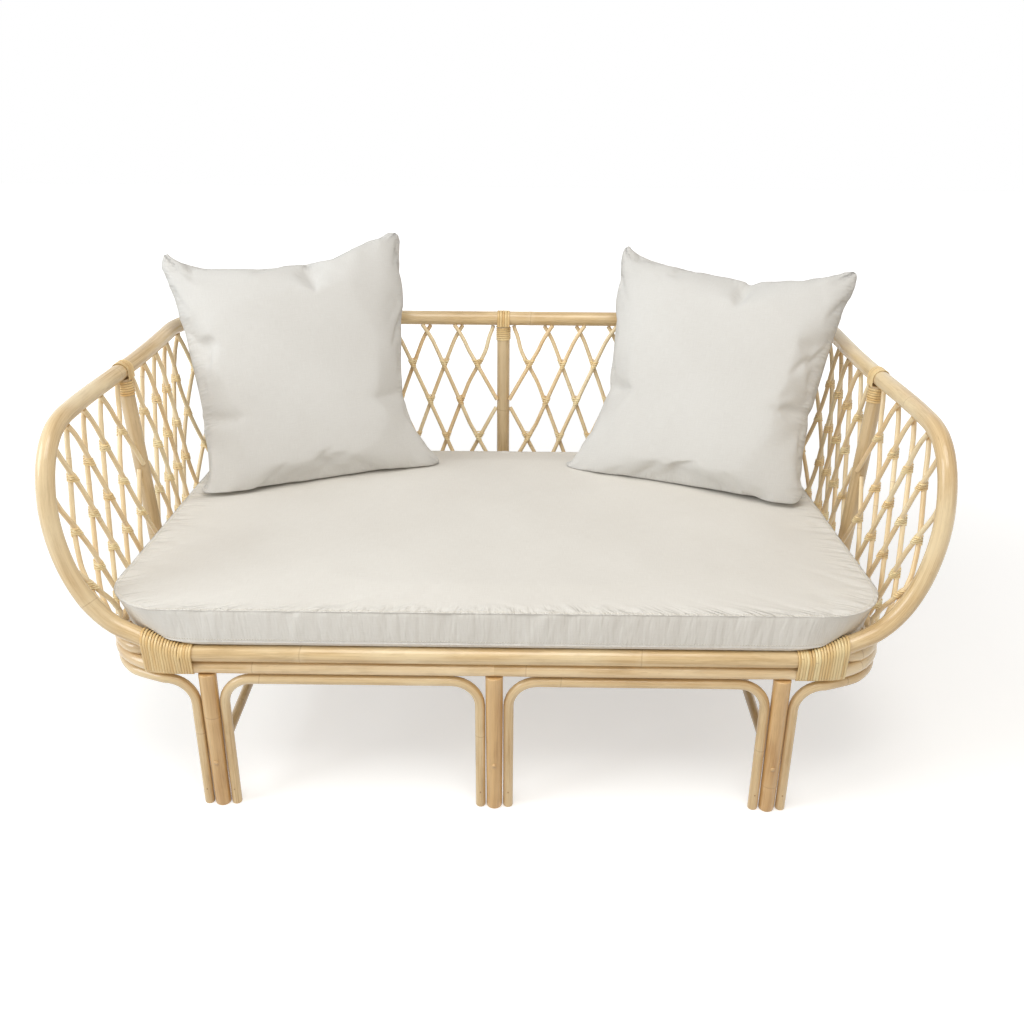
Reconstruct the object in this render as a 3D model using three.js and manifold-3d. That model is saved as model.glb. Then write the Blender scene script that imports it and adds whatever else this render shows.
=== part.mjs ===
// Rattan garden sofa for two: a bent pole frame with a diamond lattice of thin sticks round the
// back and the arms, cane bindings, a boxed seat cushion and two loose pillows.
// Millimetres. X runs to the right as seen from the front, Y to the back and Z up. The pieces are
// laid out from the middle of the front rail, then the whole is set over its own middle.

import * as THREE from 'three';
import { mergeVertices } from 'three/addons/utils/BufferGeometryUtils.js';
import Module from 'manifold-3d';

const wasm = await Module();
wasm.setup();

// Clearances
const clearance = 0.3; // between pieces that touch
const restGap = 0.6; // between soft pieces and what they lie on

// Pole radii
const railRadius = 15.5; // the thick pole of the back, the arms and their loops
const frontRailRadius = 15;
const upperRingRadius = 11;
const lowerRingRadius = 11.5;
const thinRadius = 9; // arches under the seat, and stretchers
const legTopRadius = 15.5;
const legFootRadius = 13;
const uprightRadius = 14.5; // posts behind the lattice
const slatRadius = 8;
const stickRadius = 4.25; // lattice

// Heights of pole centre lines
const frontRailHeight = 318;
const railHeight = 689;
const stretcherHeight = 97;

// Plan of the arm and back rail
const railDepth = 812; // back rail behind the front rail
const railHalfWidth = 712;
const railCornerRadius = 120;
const armFlare = 22; // the arms open towards the front
const armFrontY = 185; // where an arm starts to bend down
const armLeanOut = 40; // of the rail over the rings, at the sides
const backLean = 67; // of the rail behind the rings

// Plan of the seat rings
const ringFrontCornerRadius = 117;
const ringBackCornerRadius = 120;
const ringCornerSteps = 7; // straight runs in each bend
const jointSetIn = 35; // from the rings' front corner to the joint of loop and front rail
const ringJogSetOut = 45; // from that joint to where the upper ring leaves the front rail's back
const ringJogLength = 70;
const ringHalfWidth = railHalfWidth - armLeanOut;
const ringDepth = railDepth - backLean;
const jointX = ringHalfWidth - ringFrontCornerRadius - jointSetIn;
const ringJogStart = jointX + ringJogSetOut;

// Cane bindings
const caneWidth = 4.1;
const caneThickness = 1.6;
const canePitch = 4.75;
const bindingLength = 86;
const bindingOverlap = 7; // onto the front rail, past the joint
const longestBend = 0.8; // radians between two bends of a cane round a pole
const neckTurns = 6;
const neckPitch = 4.75;
const saddleWidth = 28;
const bindingInnerX = jointX - bindingOverlap;
const bindingOuterX = bindingInnerX + bindingLength;

// Legs
const legGap = 2.5; // between a corner leg and the binding beside it
const archBendRadius = 50;
const legSpacing = bindingInnerX - legGap - legTopRadius; // centre leg to corner leg

// Posts of the back and the arms
const armRearLength = 283; // from the arm's upright to the start of the back corner

// Seat deck under the cushion
const slatCount = 9;
const bearerCount = 2;

// Lattice
const latticePitch = 73;
const latticeFirst = 28; // from an upright to the first crossing of the top row
const latticeTopDrop = 22; // from the rail to the top row of crossings
const latticeBottomRise = 12; // from the front rail to the bottom row
const latticeFootDrop = 14; // from the front rail down to the ends of the sticks
const latticeRows = 5;
const pullReach = 80; // sticks this near to an upright are pulled in towards it
const pullShare = 0.35; // of that reach, at the upright
const tiedRows = [1, 3]; // rows whose crossings are bound
const lappedGap = 0.7; // between the two layers of sticks
const tieWidth = 5;
const loopBlend = 90; // length over which the sticks swing out to the loop
const shortestStick = 45;
const straightEnough = 1.6; // a stick that strays less from a straight line is left straight

// Seat cushion
const cushionSideGap = 8; // inside the rings' centre line
const cushionBackGap = 27;
const cushionTaper = 30; // its back is narrower by this on each side
const cushionFrontY = -8;
const cushionTopCorner = 105;
const cushionBottomCorner = 158;
const cushionBackCorner = 150;
const cushionSeamHeight = 62; // between the two seams
const cushionCrown = 14;
const cushionLip = 11; // the lower seam hangs this far above the underside
const cushionDrawIn = 3;
const cushionStations = 25;
const lipInsetShare = 2.6; // of the lip: where the underside starts to curl up
const lipRiseShare = 0.25;
const edgeRiseShare = 0.33; // of the crown: how high it is just inside the upper seam
const crownRiseShare = 0.75;
const crownInsetShare = 0.14; // of the half-width
const farInsetShare = 0.36;

// Pillows
const pillowSize = 470;
const pillowHeight = 492;
const pillowThickness = 165;
const pillowTopDrawIn = 42; // how far each edge is drawn in at its middle
const pillowSideDrawIn = 14;
const pillowFootDrawIn = 6;
const pillowPuffShare = 0.42;
const pillowLeanOutShare = 0.08;
const pillowSink = 14; // how much of its lower edge lies flat on the cushion
const pillowLeftPlace = { fromSide: 284, fromBack: 172, turn: 15, lean: 24 };
const pillowRightPlace = { fromSide: 288, fromBack: 210, turn: 22, lean: 25 };

const shades = {
  pole: 0xdec496,
  ring: 0xe0c294,
  leg: 0xd9b083,
  thin: 0xddc596,
  stick: 0xe6cfa4,
  cane: 0xe2c68c,
  canvas: 0xe0dcd2,
  pillow: 0xdedbd4,
};

const sofa = new THREE.Group();

function at(x, y, z) {
  return new THREE.Vector3(x, y, z);
}

function mix(a, b, share) {
  return a + (b - a) * share;
}

function smooth(share) {
  const s = Math.min(1, Math.max(0, share));
  return s * s * (3 - 2 * s);
}

// Adds one named piece in one colour.
function addPiece(name, geometry, shade, roughness = 0.55) {
  const material = new THREE.MeshStandardMaterial({ color: shade, roughness, metalness: 0 });
  const mesh = new THREE.Mesh(geometry, material);
  mesh.name = name;
  sofa.add(mesh);
}

// Booleans

function solidOf(geometry) {
  const plain = geometry.clone();
  plain.deleteAttribute('normal');
  plain.deleteAttribute('uv');
  const welded = mergeVertices(plain, 1e-4);
  return new wasm.Manifold(new wasm.Mesh({
    numProp: 3,
    vertProperties: new Float32Array(welded.attributes.position.array),
    triVerts: new Uint32Array(welded.index.array),
  }));
}

function geometryOf(solid) {
  const mesh = solid.getMesh();
  const geometry = new THREE.BufferGeometry();
  geometry.setAttribute('position', new THREE.BufferAttribute(mesh.vertProperties, 3));
  geometry.setIndex(new THREE.BufferAttribute(mesh.triVerts, 1));
  geometry.computeVertexNormals();
  return geometry;
}

// Poles

function roundSection(radius, sides) {
  const corners = [];
  for (let i = 0; i < sides; i += 1) {
    const angle = (i / sides) * Math.PI * 2;
    corners.push(new THREE.Vector2(radius * Math.cos(angle), radius * Math.sin(angle)));
  }
  return new THREE.Shape(corners);
}

// A path with one step between each two stations, so that straight runs take a single step.
class StationPath extends THREE.Curve {
  constructor(stations) {
    super();
    this.stations = stations;
  }

  getPoint(share) {
    const place = share * (this.stations.length - 1);
    const i = Math.min(Math.floor(place), this.stations.length - 2);
    return this.stations[i].clone().lerp(this.stations[i + 1], place - i);
  }

  getPointAt(share) {
    return this.getPoint(share);
  }

  getTangentAt(share) {
    const last = this.stations.length - 1;
    const i = Math.round(share * last);
    const before = this.stations[Math.max(0, i - 1)];
    const here = this.stations[i];
    const after = this.stations[Math.min(last, i + 1)];
    const into = here.clone().sub(before).normalize();
    const onward = after.clone().sub(here).normalize();
    return into.add(onward).normalize();
  }
}

// A round pole bent along its stations.
function bentPole(stations, radius, sides) {
  return new THREE.ExtrudeGeometry(roundSection(radius, sides), {
    steps: stations.length - 1,
    extrudePath: new StationPath(stations),
    bevelEnabled: false,
  });
}

// The point of a path's straight runs that lies nearest to a place.
function nearestOnPath(stations, place) {
  let best = stations[0];
  for (let i = 0; i + 1 < stations.length; i += 1) {
    const run = new THREE.Line3(stations[i], stations[i + 1]);
    const point = run.closestPointToPoint(place, true, new THREE.Vector3());
    if (point.distanceToSquared(place) < best.distanceToSquared(place)) {
      best = point;
    }
  }
  return best;
}

// A straight, tapered pole from one point to another.
function strut(from, to, fromRadius, toRadius, sides) {
  const run = to.clone().sub(from);
  const geometry = new THREE.CylinderGeometry(toRadius, fromRadius, run.length(), sides);
  const turn = new THREE.Quaternion().setFromUnitVectors(at(0, 1, 0), run.clone().normalize());
  const middle = from.clone().add(to).multiplyScalar(1 / 2);
  return geometry.applyMatrix4(new THREE.Matrix4().compose(middle, turn, at(1, 1, 1)));
}

// Points on a quarter circle in plan, from its start angle, both ends left out.
function planArc(centreX, centreY, radius, fromDegrees, toDegrees, height, count) {
  const points = [];
  for (let i = 1; i < count; i += 1) {
    const angle = THREE.MathUtils.degToRad(mix(fromDegrees, toDegrees, i / count));
    points.push(at(centreX + radius * Math.cos(angle), centreY + radius * Math.sin(angle), height));
  }
  return points;
}

function mirrored(points) {
  return points.map((point) => at(-point.x, point.y, point.z)).reverse();
}

// Arm and back rail

const railCornerX = railHalfWidth - railCornerRadius;
const railCornerY = railDepth - railCornerRadius;

// Half-width of the rail in plan at a distance from the front.
function railX(y) {
  const flare = smooth((railCornerY - y) / (railCornerY - armFrontY));
  return railHalfWidth + armFlare * flare * flare;
}

// The loop in front of an arm, from the top down: how far it has gone out from the joint to the
// arm's full width, forward from the bend, and up from the front rail to the arm.
const loopShares = [
  [1, 0.785, 0.997],
  [1.003, 0.57, 0.97],
  [1.004, 0.38, 0.9],
  [1.004, 0.25, 0.787],
  [0.995, 0.18, 0.642],
  [0.953, 0.14, 0.491],
  [0.874, 0.113, 0.345],
  [0.757, 0.092, 0.221],
  [0.598, 0.07, 0.129],
  [0.378, 0.043, 0.067],
  [0.187, 0.01, 0.021],
];

function loopPoints() {
  const widest = railX(armFrontY);
  return loopShares.map(([out, back, up]) => at(
    mix(jointX, widest, out),
    armFrontY * back,
    mix(frontRailHeight, railHeight, up),
  ));
}

function halfRailPoints() {
  const points = [at(railCornerX, railDepth, railHeight)];
  points.push(...planArc(railCornerX, railCornerY, railCornerRadius, 90, 0, railHeight, 6));
  const sideStations = 5;
  for (let i = 0; i <= sideStations; i += 1) {
    const y = mix(railCornerY, armFrontY, i / sideStations);
    points.push(at(railX(y), y, railHeight));
  }
  points.push(...loopPoints());
  points.push(at(jointX + railRadius, 0, frontRailHeight));
  points.push(at(jointX + clearance, 0, frontRailHeight));
  return points;
}

const rightHalf = halfRailPoints();
const railStations = [...mirrored(rightHalf), ...rightHalf];

function addRails() {
  addPiece('arm_and_back_rail', bentPole(railStations, railRadius, 10), shades.pole);
  const frontRail = strut(
    at(-jointX, 0, frontRailHeight),
    at(jointX, 0, frontRailHeight),
    frontRailRadius,
    frontRailRadius,
    12,
  );
  addPiece('front_rail', frontRail, shades.pole);
}

// Seat rings

const thickestRadius = Math.max(railRadius, frontRailRadius);
const lowerRingHeight = frontRailHeight - thickestRadius - clearance - lowerRingRadius;
const upperRingHeight = lowerRingHeight + lowerRingRadius + clearance + upperRingRadius;
const upperRingSetBack = thickestRadius + clearance + upperRingRadius;

// How far a ring stands behind its corner line near the front: only the upper one does.
function jog(x, setBack) {
  return setBack * (1 - smooth((Math.abs(x) - ringJogStart) / ringJogLength));
}

// The right half of a ring, from the middle of the back round the side to the middle of the front.
function halfRing(height, setBack) {
  const frontX = ringHalfWidth - ringFrontCornerRadius;
  const frontY = ringFrontCornerRadius;
  const backX = ringHalfWidth - ringBackCornerRadius;
  const backY = ringDepth - ringBackCornerRadius;
  const half = [
    at(clearance, ringDepth, height),
    at(backX, ringDepth, height),
    ...planArc(backX, backY, ringBackCornerRadius, 90, 0, height, ringCornerSteps),
    at(ringHalfWidth, backY, height),
    at(ringHalfWidth, frontY, height),
    ...planArc(frontX, frontY, frontY, 0, -90, height, ringCornerSteps),
    at(frontX, 0, height),
    at(Math.min(ringJogStart, frontX - clearance), 0, height),
    at(clearance, 0, height),
  ];
  for (const point of half) {
    if (point.y < frontY) {
      point.y += jog(point.x, setBack);
    }
  }
  return half;
}

const upperHalf = halfRing(upperRingHeight, upperRingSetBack);
const lowerHalf = halfRing(lowerRingHeight, 0);

// Each ring is four bent poles that meet in the middle of the front, the back and the sides.
function addRings() {
  for (const [name, half, radius] of [
    ['upper', upperHalf, upperRingRadius],
    ['lower', lowerHalf, lowerRingRadius],
  ]) {
    const middleY = ringDepth / 2;
    const height = half[0].z;
    const rear = half.filter((point) => point.y > middleY);
    const front = half.filter((point) => point.y < middleY);
    rear.push(at(ringHalfWidth, middleY + clearance, height));
    front.unshift(at(ringHalfWidth, middleY - clearance, height));
    for (const [end, quarter] of [['rear', rear], ['front', front]]) {
      const ring = `seat_ring_${name}_${end}`;
      addPiece(`${ring}_right`, bentPole(quarter, radius, 8), shades.ring);
      addPiece(`${ring}_left`, bentPole(mirrored(quarter), radius, 8), shades.ring);
    }
  }
}

// Legs, arches and stretchers

const legTop = lowerRingHeight - lowerRingRadius - clearance;
const boundRadius = (lowerRingRadius + clearance * 2) / Math.cos(longestBend / 2) + caneThickness;
const archRunHeight = lowerRingHeight - boundRadius - clearance - thinRadius; // clears the bindings
const archOffset = legTopRadius + clearance + thinRadius; // from a leg's centre line
const legNames = [['left', -legSpacing], ['centre', 0], ['right', legSpacing]];
const legRows = [['front', 0], ['rear', ringDepth]];

function addLegs() {
  for (const [row, y] of legRows) {
    for (const [name, x] of legNames) {
      const leg = strut(at(x, y, 0), at(x, y, legTop), legFootRadius, legTopRadius, 12);
      addPiece(`${row}_${name}_leg`, leg, shades.leg);
    }
  }
}

// Rises beside a leg, then turns towards another direction in plan.
function riseAndBend(x, y, towardX, towardY) {
  const points = [at(x, y, 0)];
  const bendSteps = 5;
  for (let i = 0; i <= bendSteps; i += 1) {
    const angle = (i / bendSteps) * (Math.PI / 2);
    const along = archBendRadius * (1 - Math.cos(angle));
    const height = archRunHeight - archBendRadius * (1 - Math.sin(angle));
    points.push(at(x + towardX * along, y + towardY * along, height));
  }
  return points;
}

function addArches() {
  for (const [row, y] of legRows) {
    for (const [name, side] of [['left', -1], ['right', 1]]) {
      const inner = riseAndBend(side * archOffset, y, side, 0);
      const outer = riseAndBend(side * (legSpacing - archOffset), y, -side, 0);
      const stations = [...inner, ...outer.reverse()];
      addPiece(`${row}_${name}_arch`, bentPole(stations, thinRadius, 7), shades.thin);
    }
  }
}

// Thin poles that follow the rings round both sides, from a front corner leg to a rear one.
function addSideArches() {
  const frontX = ringHalfWidth - ringFrontCornerRadius;
  const backX = ringHalfWidth - ringBackCornerRadius;
  const backY = ringDepth - ringBackCornerRadius;
  for (const [name, side] of [['left', -1], ['right', 1]]) {
    const front = riseAndBend(legSpacing + archOffset, 0, 1, 0);
    const back = riseAndBend(legSpacing + archOffset, ringDepth, 1, 0).reverse();
    const radius = ringFrontCornerRadius;
    const around = [
      ...planArc(frontX, radius, radius, -90, 0, archRunHeight, ringCornerSteps).slice(1),
      at(ringHalfWidth, radius, archRunHeight),
      at(ringHalfWidth, backY, archRunHeight),
      ...planArc(backX, backY, ringBackCornerRadius, 0, 90, archRunHeight, ringCornerSteps)
        .slice(0, -1),
    ];
    const points = [...front, ...around, ...back].map((p) => at(side * p.x, p.y, p.z));
    addPiece(`${name}_side_arch`, bentPole(points, thinRadius, 7), shades.thin);
  }
}

function addStretchers() {
  const legRadius = mix(legFootRadius, legTopRadius, stretcherHeight / legTop);
  const start = legRadius + clearance;
  for (const [name, x] of legNames) {
    const from = at(x, start, stretcherHeight);
    const to = at(x, ringDepth - start, stretcherHeight);
    addPiece(`${name}_stretcher`, strut(from, to, thinRadius, thinRadius, 8), shades.thin);
  }
}

// Seat deck

const slatHeight = frontRailHeight + frontRailRadius - slatRadius - clearance;
const bearerHeight = slatHeight - slatRadius - clearance - thinRadius;

function addDeck() {
  const slatSpan = legSpacing * 2;
  const slatStart = upperRingSetBack + upperRingRadius + clearance;
  const slatEnd = ringDepth - upperRingRadius - clearance;
  for (let i = 0; i < slatCount; i += 1) {
    const x = mix(-slatSpan / 2, slatSpan / 2, i / (slatCount - 1));
    const from = at(x, slatStart, slatHeight);
    const to = at(x, slatEnd, slatHeight);
    addPiece(`seat_slat_${i + 1}`, strut(from, to, slatRadius, slatRadius, 7), shades.thin);
  }
  const reach = ringHalfWidth - upperRingRadius - clearance;
  for (let i = 0; i < bearerCount; i += 1) {
    const y = ringDepth * (i + 1) / (bearerCount + 1);
    const from = at(-reach, y, bearerHeight);
    const to = at(reach, y, bearerHeight);
    addPiece(`seat_bearer_${i + 1}`, strut(from, to, thinRadius, thinRadius, 8), shades.thin);
  }
}

// Lattice surface: between the upper ring's outer side and the rail's centre line

const armUprightY = railDepth - railCornerRadius - armRearLength;
const latticeTopRow = railHeight - latticeTopDrop;
const latticeFoot = frontRailHeight - latticeFootDrop;
const latticeHeight = latticeTopRow - frontRailHeight - latticeBottomRise;
const latticeRowHeight = latticeHeight / (latticeRows - 1);

const layerOffset = stickRadius + lappedGap / 2; // of each layer from the middle surface
const footSetOut = upperRingRadius + clearance * 2 + layerOffset + stickRadius;
const backRun = railCornerX;
const cornerRun = railCornerRadius * Math.PI / 2;
const uprightRun = backRun + cornerRun + (railCornerY - armUprightY); // to the arm's upright

const loopStations = rightHalf.filter((point) => point.y <= armFrontY);

// The loop's centre at a height.
function loopAt(height) {
  for (let i = 0; i + 1 < loopStations.length; i += 1) {
    const [a, b] = [loopStations[i], loopStations[i + 1]];
    if (height >= b.z) {
      return a.clone().lerp(b, Math.min(1, Math.max(0, (a.z - height) / (a.z - b.z))));
    }
  }
  return loopStations[loopStations.length - 1];
}

function ringOuterX(y) {
  const radius = ringFrontCornerRadius;
  if (y > radius) {
    return ringHalfWidth;
  }
  const rise = Math.max(0, radius * radius - (radius - y) * (radius - y));
  return ringHalfWidth - radius + Math.sqrt(rise);
}

// Plan of the surface at a run along the rail from the middle of the back: the points above
// and below, and the outward direction.
function latticePlan(run) {
  const ringCornerX = ringHalfWidth - ringBackCornerRadius;
  const ringCornerY = ringDepth - ringBackCornerRadius;
  if (run <= backRun) {
    const share = run / backRun;
    return { top: [run, railDepth], foot: [share * ringCornerX, ringDepth], out: [0, 1] };
  }
  if (run <= backRun + cornerRun) {
    const angle = ((run - backRun) / cornerRun) * (Math.PI / 2);
    const out = [Math.sin(angle), Math.cos(angle)];
    return {
      top: [railCornerX + railCornerRadius * out[0], railCornerY + railCornerRadius * out[1]],
      foot: [
        ringCornerX + ringBackCornerRadius * out[0],
        ringCornerY + ringBackCornerRadius * out[1],
      ],
      out,
    };
  }
  const y = railCornerY - (run - backRun - cornerRun);
  const behind = Math.max(0, (y - armUprightY) / (railCornerY - armUprightY));
  const footY = y > armUprightY ? mix(armUprightY, ringCornerY, behind) : y;
  return { top: [railX(Math.max(y, armFrontY)), y], foot: [ringOuterX(footY), footY], out: [1, 0] };
}

// A run near an upright, pulled in towards it.
function pulledRun(run) {
  const upright = run < uprightRun / 2 ? 0 : uprightRun;
  const away = Math.abs(run - upright);
  const pull = away < pullReach ? pullShare * (pullReach - away) : 0;
  return run - Math.sign(run - upright) * Math.min(pull, away);
}

function latticePoint(wantedRun, height, offset) {
  const run = pulledRun(wantedRun);
  const plan = latticePlan(run);
  const share = (height - upperRingHeight) / (railHeight - upperRingHeight);
  const setOut = footSetOut * (1 - share) + offset;
  let x = mix(plan.foot[0], plan.top[0], share) + plan.out[0] * setOut;
  const y = mix(plan.foot[1], plan.top[1], share) + plan.out[1] * setOut;
  if (y < armUprightY) {
    const loop = loopAt(height);
    const near = smooth(1 - (y - loop.y - railRadius) / loopBlend);
    x = mix(x, loop.x + offset, near);
  }
  return at(x, y, height);
}

// Uprights

// An upright stands outside both rings and ends under the rail.
function uprightAt(run) {
  const { foot, top, out } = latticePlan(run);
  const setOut = Math.max(upperRingRadius, lowerRingRadius) + clearance * 2 + uprightRadius;
  return {
    foot: at(foot[0] + out[0] * setOut, foot[1] + out[1] * setOut, lowerRingHeight),
    top: at(top[0], top[1], railHeight - railRadius - clearance),
  };
}

const uprights = [
  ['centre_back_upright', uprightAt(0), 1],
  ['left_arm_upright', uprightAt(uprightRun), -1],
  ['right_arm_upright', uprightAt(uprightRun), 1],
];

function sided(point, side) {
  return at(side * point.x, point.y, point.z);
}

function addUprights() {
  for (const [name, upright, side] of uprights) {
    const pole = strut(
      sided(upright.foot, side),
      sided(upright.top, side),
      uprightRadius,
      uprightRadius,
      12,
    );
    addPiece(name, pole, shades.leg);
  }
}

// Lattice sticks

const neckSteps = 8;
const neckRadius = (uprightRadius + clearance) / Math.cos(Math.PI / neckSteps) + caneThickness;
const neckLength = neckTurns * neckPitch + 5 * clearance;
const uprightLines = [uprightAt(0), uprightAt(uprightRun)].map((upright) => {
  const line = new THREE.Line3(upright.foot, upright.top);
  const down = upright.foot.clone().sub(upright.top).normalize();
  const neckEnd = upright.top.clone().addScaledVector(down, neckLength + caneWidth);
  return { line, neck: new THREE.Line3(neckEnd, upright.top) };
});
const nearRail = [at(-latticePitch, railDepth, railHeight), ...rightHalf];

function distanceToLine(line, point) {
  return line.closestPointToPoint(point, true, new THREE.Vector3()).distanceTo(point);
}

// How far a stick's surface at a point, heading one way, stays from a pole of some radius.
function roomTo(axisPoint, radius, point, heading) {
  const away = point.clone().sub(axisPoint);
  const distance = away.length();
  const along = Math.abs(away.dot(heading)) / distance;
  const across = Math.sqrt(Math.max(0, 1 - along * along));
  return distance - radius - clearance - stickRadius * across;
}

function isFree(point, heading) {
  const poles = [[nearRail, railRadius], [upperHalf, upperRingRadius], [lowerHalf, lowerRingRadius]];
  for (const [stations, radius] of poles) {
    if (roomTo(nearestOnPath(stations, point), radius, point, heading) < 0) {
      return false;
    }
  }
  for (const upright of uprightLines) {
    const onLine = upright.line.closestPointToPoint(point, true, new THREE.Vector3());
    if (roomTo(onLine, uprightRadius, point, heading) < 0) {
      return false;
    }
    if (distanceToLine(upright.neck, point) < neckRadius + clearance + stickRadius) {
      return false;
    }
  }
  return true;
}

// A stick is a straight line in run and height: it loses or gains half a pitch every row.
function stickPath(stick) {
  const lastRow = (latticeTopRow - latticeFoot) / latticeRowHeight;
  const firstRow = -1;
  const count = 120;
  const places = [];
  for (let i = 0; i <= count; i += 1) {
    const row = mix(firstRow, lastRow, i / count);
    const run = stick.startRun + stick.drift * row;
    const height = latticeTopRow - row * latticeRowHeight;
    places.push({ run, row, point: latticePoint(run, height, stick.offset) });
  }
  const free = places.map((place, i) => {
    const before = places[Math.max(0, i - 1)].point;
    const after = places[Math.min(count, i + 1)].point;
    const heading = after.clone().sub(before).normalize();
    const inside = place.run > stick.minRun && place.run < stick.maxRun;
    return inside && place.point.z < railHeight && isFree(place.point, heading);
  });
  let best = [0, -1];
  let start = -1;
  for (let i = 0; i <= count + 1; i += 1) {
    if (i <= count && free[i]) {
      start = start < 0 ? i : start;
    } else if (start >= 0) {
      best = i - 1 - start > best[1] - best[0] ? [start, i - 1] : best;
      start = -1;
    }
  }
  return places.slice(best[0], best[1] + 1);
}

// How far the points stray from the straight line between the two ends.
function bow(places) {
  const line = new THREE.Line3(places[0].point, places[places.length - 1].point);
  return Math.max(...places.map((place) => distanceToLine(line, place.point)));
}

function stickSolid(places) {
  const stray = bow(places);
  const spans = stray < straightEnough ? 1 : Math.ceil(Math.sqrt(stray / straightEnough)) + 1;
  const points = [];
  for (let i = 0; i <= spans; i += 1) {
    points.push(places[Math.round(((places.length - 1) * i) / spans)].point);
  }
  return solidOf(bentPole(points, stickRadius, 5));
}

// A short square core that ties two crossing sticks together.
function tieSolid(run, height) {
  const core = new THREE.BoxGeometry(tieWidth, layerOffset * 2, tieWidth);
  const out = latticePlan(run).out;
  core.rotateZ(-Math.atan2(out[0], out[1]));
  const place = latticePoint(run, height, 0);
  core.translate(place.x, place.y, place.z);
  return solidOf(core);
}

// The sticks between two runs: each family leans the other way.
function sticksBetween(startRun, endRun, minRun, maxRun) {
  const count = Math.round((endRun - startRun) / latticePitch);
  const pitch = (endRun - startRun) / count;
  const sticks = [];
  for (let k = -latticeRows; k <= count + latticeRows; k += 1) {
    const start = startRun + k * pitch;
    sticks.push({ k, family: 'inner', startRun: start, drift: -pitch / 2, offset: -layerOffset });
    sticks.push({ k, family: 'outer', startRun: start, drift: pitch / 2, offset: layerOffset });
  }
  return sticks.map((stick) => ({ ...stick, minRun, maxRun, pitch }));
}

function latticeGroups() {
  const reach = uprightRun + armUprightY;
  const rearEnd = uprightRun - latticeFirst;
  const rear = sticksBetween(latticeFirst, rearEnd, stickRadius, uprightRun - stickRadius);
  const frontStart = uprightRun + latticeFirst;
  const frontEnd = frontStart + Math.round((reach - frontStart) / latticePitch) * latticePitch;
  const front = sticksBetween(frontStart, frontEnd, uprightRun + stickRadius, reach);
  return { rear, front };
}

function panelOf(middleRun, isFront) {
  if (isFront) {
    return 'arm_front';
  }
  if (middleRun < backRun) {
    return 'back';
  }
  return middleRun < backRun + cornerRun ? 'corner' : 'arm_rear';
}

function reaches(stick, row) {
  const margin = tieWidth / latticeRowHeight;
  const rows = stick.places.map((place) => place.row);
  return row - margin > Math.min(...rows) && row + margin < Math.max(...rows);
}

// Where two sticks of a panel cross on a row that both reach.
function crossingsOf(sticks) {
  const crossings = [];
  sticks.forEach((inner, i) => {
    sticks.forEach((outer, j) => {
      const row = (inner.startRun - outer.startRun) / inner.pitch;
      const wholeRow = Math.round(row);
      const onRow = wholeRow >= 0 && wholeRow < latticeRows;
      const crosses = inner.family === 'inner' && outer.family === 'outer' && onRow;
      if (crosses && reaches(inner, wholeRow) && reaches(outer, wholeRow)) {
        crossings.push({ i, j, row: wholeRow, run: inner.startRun + inner.drift * wholeRow });
      }
    });
  });
  return crossings;
}

// Ties on the bound rows, and on another row only where a stick would hang loose without one.
function tiesOf(sticks) {
  const cluster = sticks.map((stick, i) => i);
  const join = (tie) => {
    const from = cluster[tie.i];
    const to = cluster[tie.j];
    cluster.forEach((value, i) => {
      cluster[i] = value === from ? to : value;
    });
  };
  const crossings = crossingsOf(sticks);
  const ties = crossings.filter((crossing) => tiedRows.includes(crossing.row));
  ties.forEach(join);
  for (const crossing of crossings) {
    if (cluster[crossing.i] !== cluster[crossing.j]) {
      join(crossing);
      ties.push(crossing);
    }
  }
  return { ties, cluster };
}

function addLattice() {
  const { rear, front } = latticeGroups();
  const panels = {};
  for (const [sticks, isFront] of [[rear, false], [front, true]]) {
    for (const stick of sticks) {
      stick.places = stickPath(stick);
      if (stick.places.length < 2) {
        continue;
      }
      const first = stick.places[0];
      const last = stick.places[stick.places.length - 1];
      if (first.point.distanceTo(last.point) > shortestStick) {
        const panel = panelOf((first.run + last.run) / 2, isFront);
        panels[panel] = [...(panels[panel] ?? []), stick];
      }
    }
  }
  for (const [panel, sticks] of Object.entries(panels)) {
    const { ties, cluster } = tiesOf(sticks);
    const main = cluster[ties[Math.floor(ties.length / 2)].i];
    let solid = null;
    sticks.forEach((stick, i) => {
      if (cluster[i] === main) {
        const piece = stickSolid(stick.places);
        solid = solid ? solid.add(piece) : piece;
      }
    });
    for (const tie of ties) {
      solid = solid.add(tieSolid(tie.run, latticeTopRow - tie.row * latticeRowHeight));
    }
    const rightSide = geometryOf(solid);
    const leftSide = geometryOf(solid.mirror([1, 0, 0]));
    addPiece(`right_${panel}_lattice`, rightSide, shades.stick);
    addPiece(`left_${panel}_lattice`, leftSide, shades.stick);
  }
}

// Cane bindings

// A flat cane wound in one unbroken length. Each place has a middle and the directions across
// the cane's width and its thickness.
function caneSolid(places) {
  const positions = [];
  const index = [];
  for (const { middle, wide, thick } of places) {
    for (const [w, t] of [[-1, -1], [1, -1], [1, 1], [-1, 1]]) {
      const corner = middle.clone()
        .addScaledVector(wide, (w * caneWidth) / 2)
        .addScaledVector(thick, (t * caneThickness) / 2);
      positions.push(corner.x, corner.y, corner.z);
    }
  }
  for (let i = 0; i + 1 < places.length; i += 1) {
    for (let side = 0; side < 4; side += 1) {
      const a = i * 4 + side;
      const b = i * 4 + ((side + 1) % 4);
      index.push(a, b, b + 4, a, b + 4, a + 4);
    }
  }
  const end = (places.length - 1) * 4;
  index.push(0, 3, 2, 0, 2, 1, end, end + 1, end + 2, end, end + 2, end + 3);
  const geometry = new THREE.BufferGeometry();
  geometry.setAttribute('position', new THREE.Float32BufferAttribute(positions, 3));
  geometry.setIndex(index);
  geometry.computeVertexNormals();
  return geometry;
}

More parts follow.
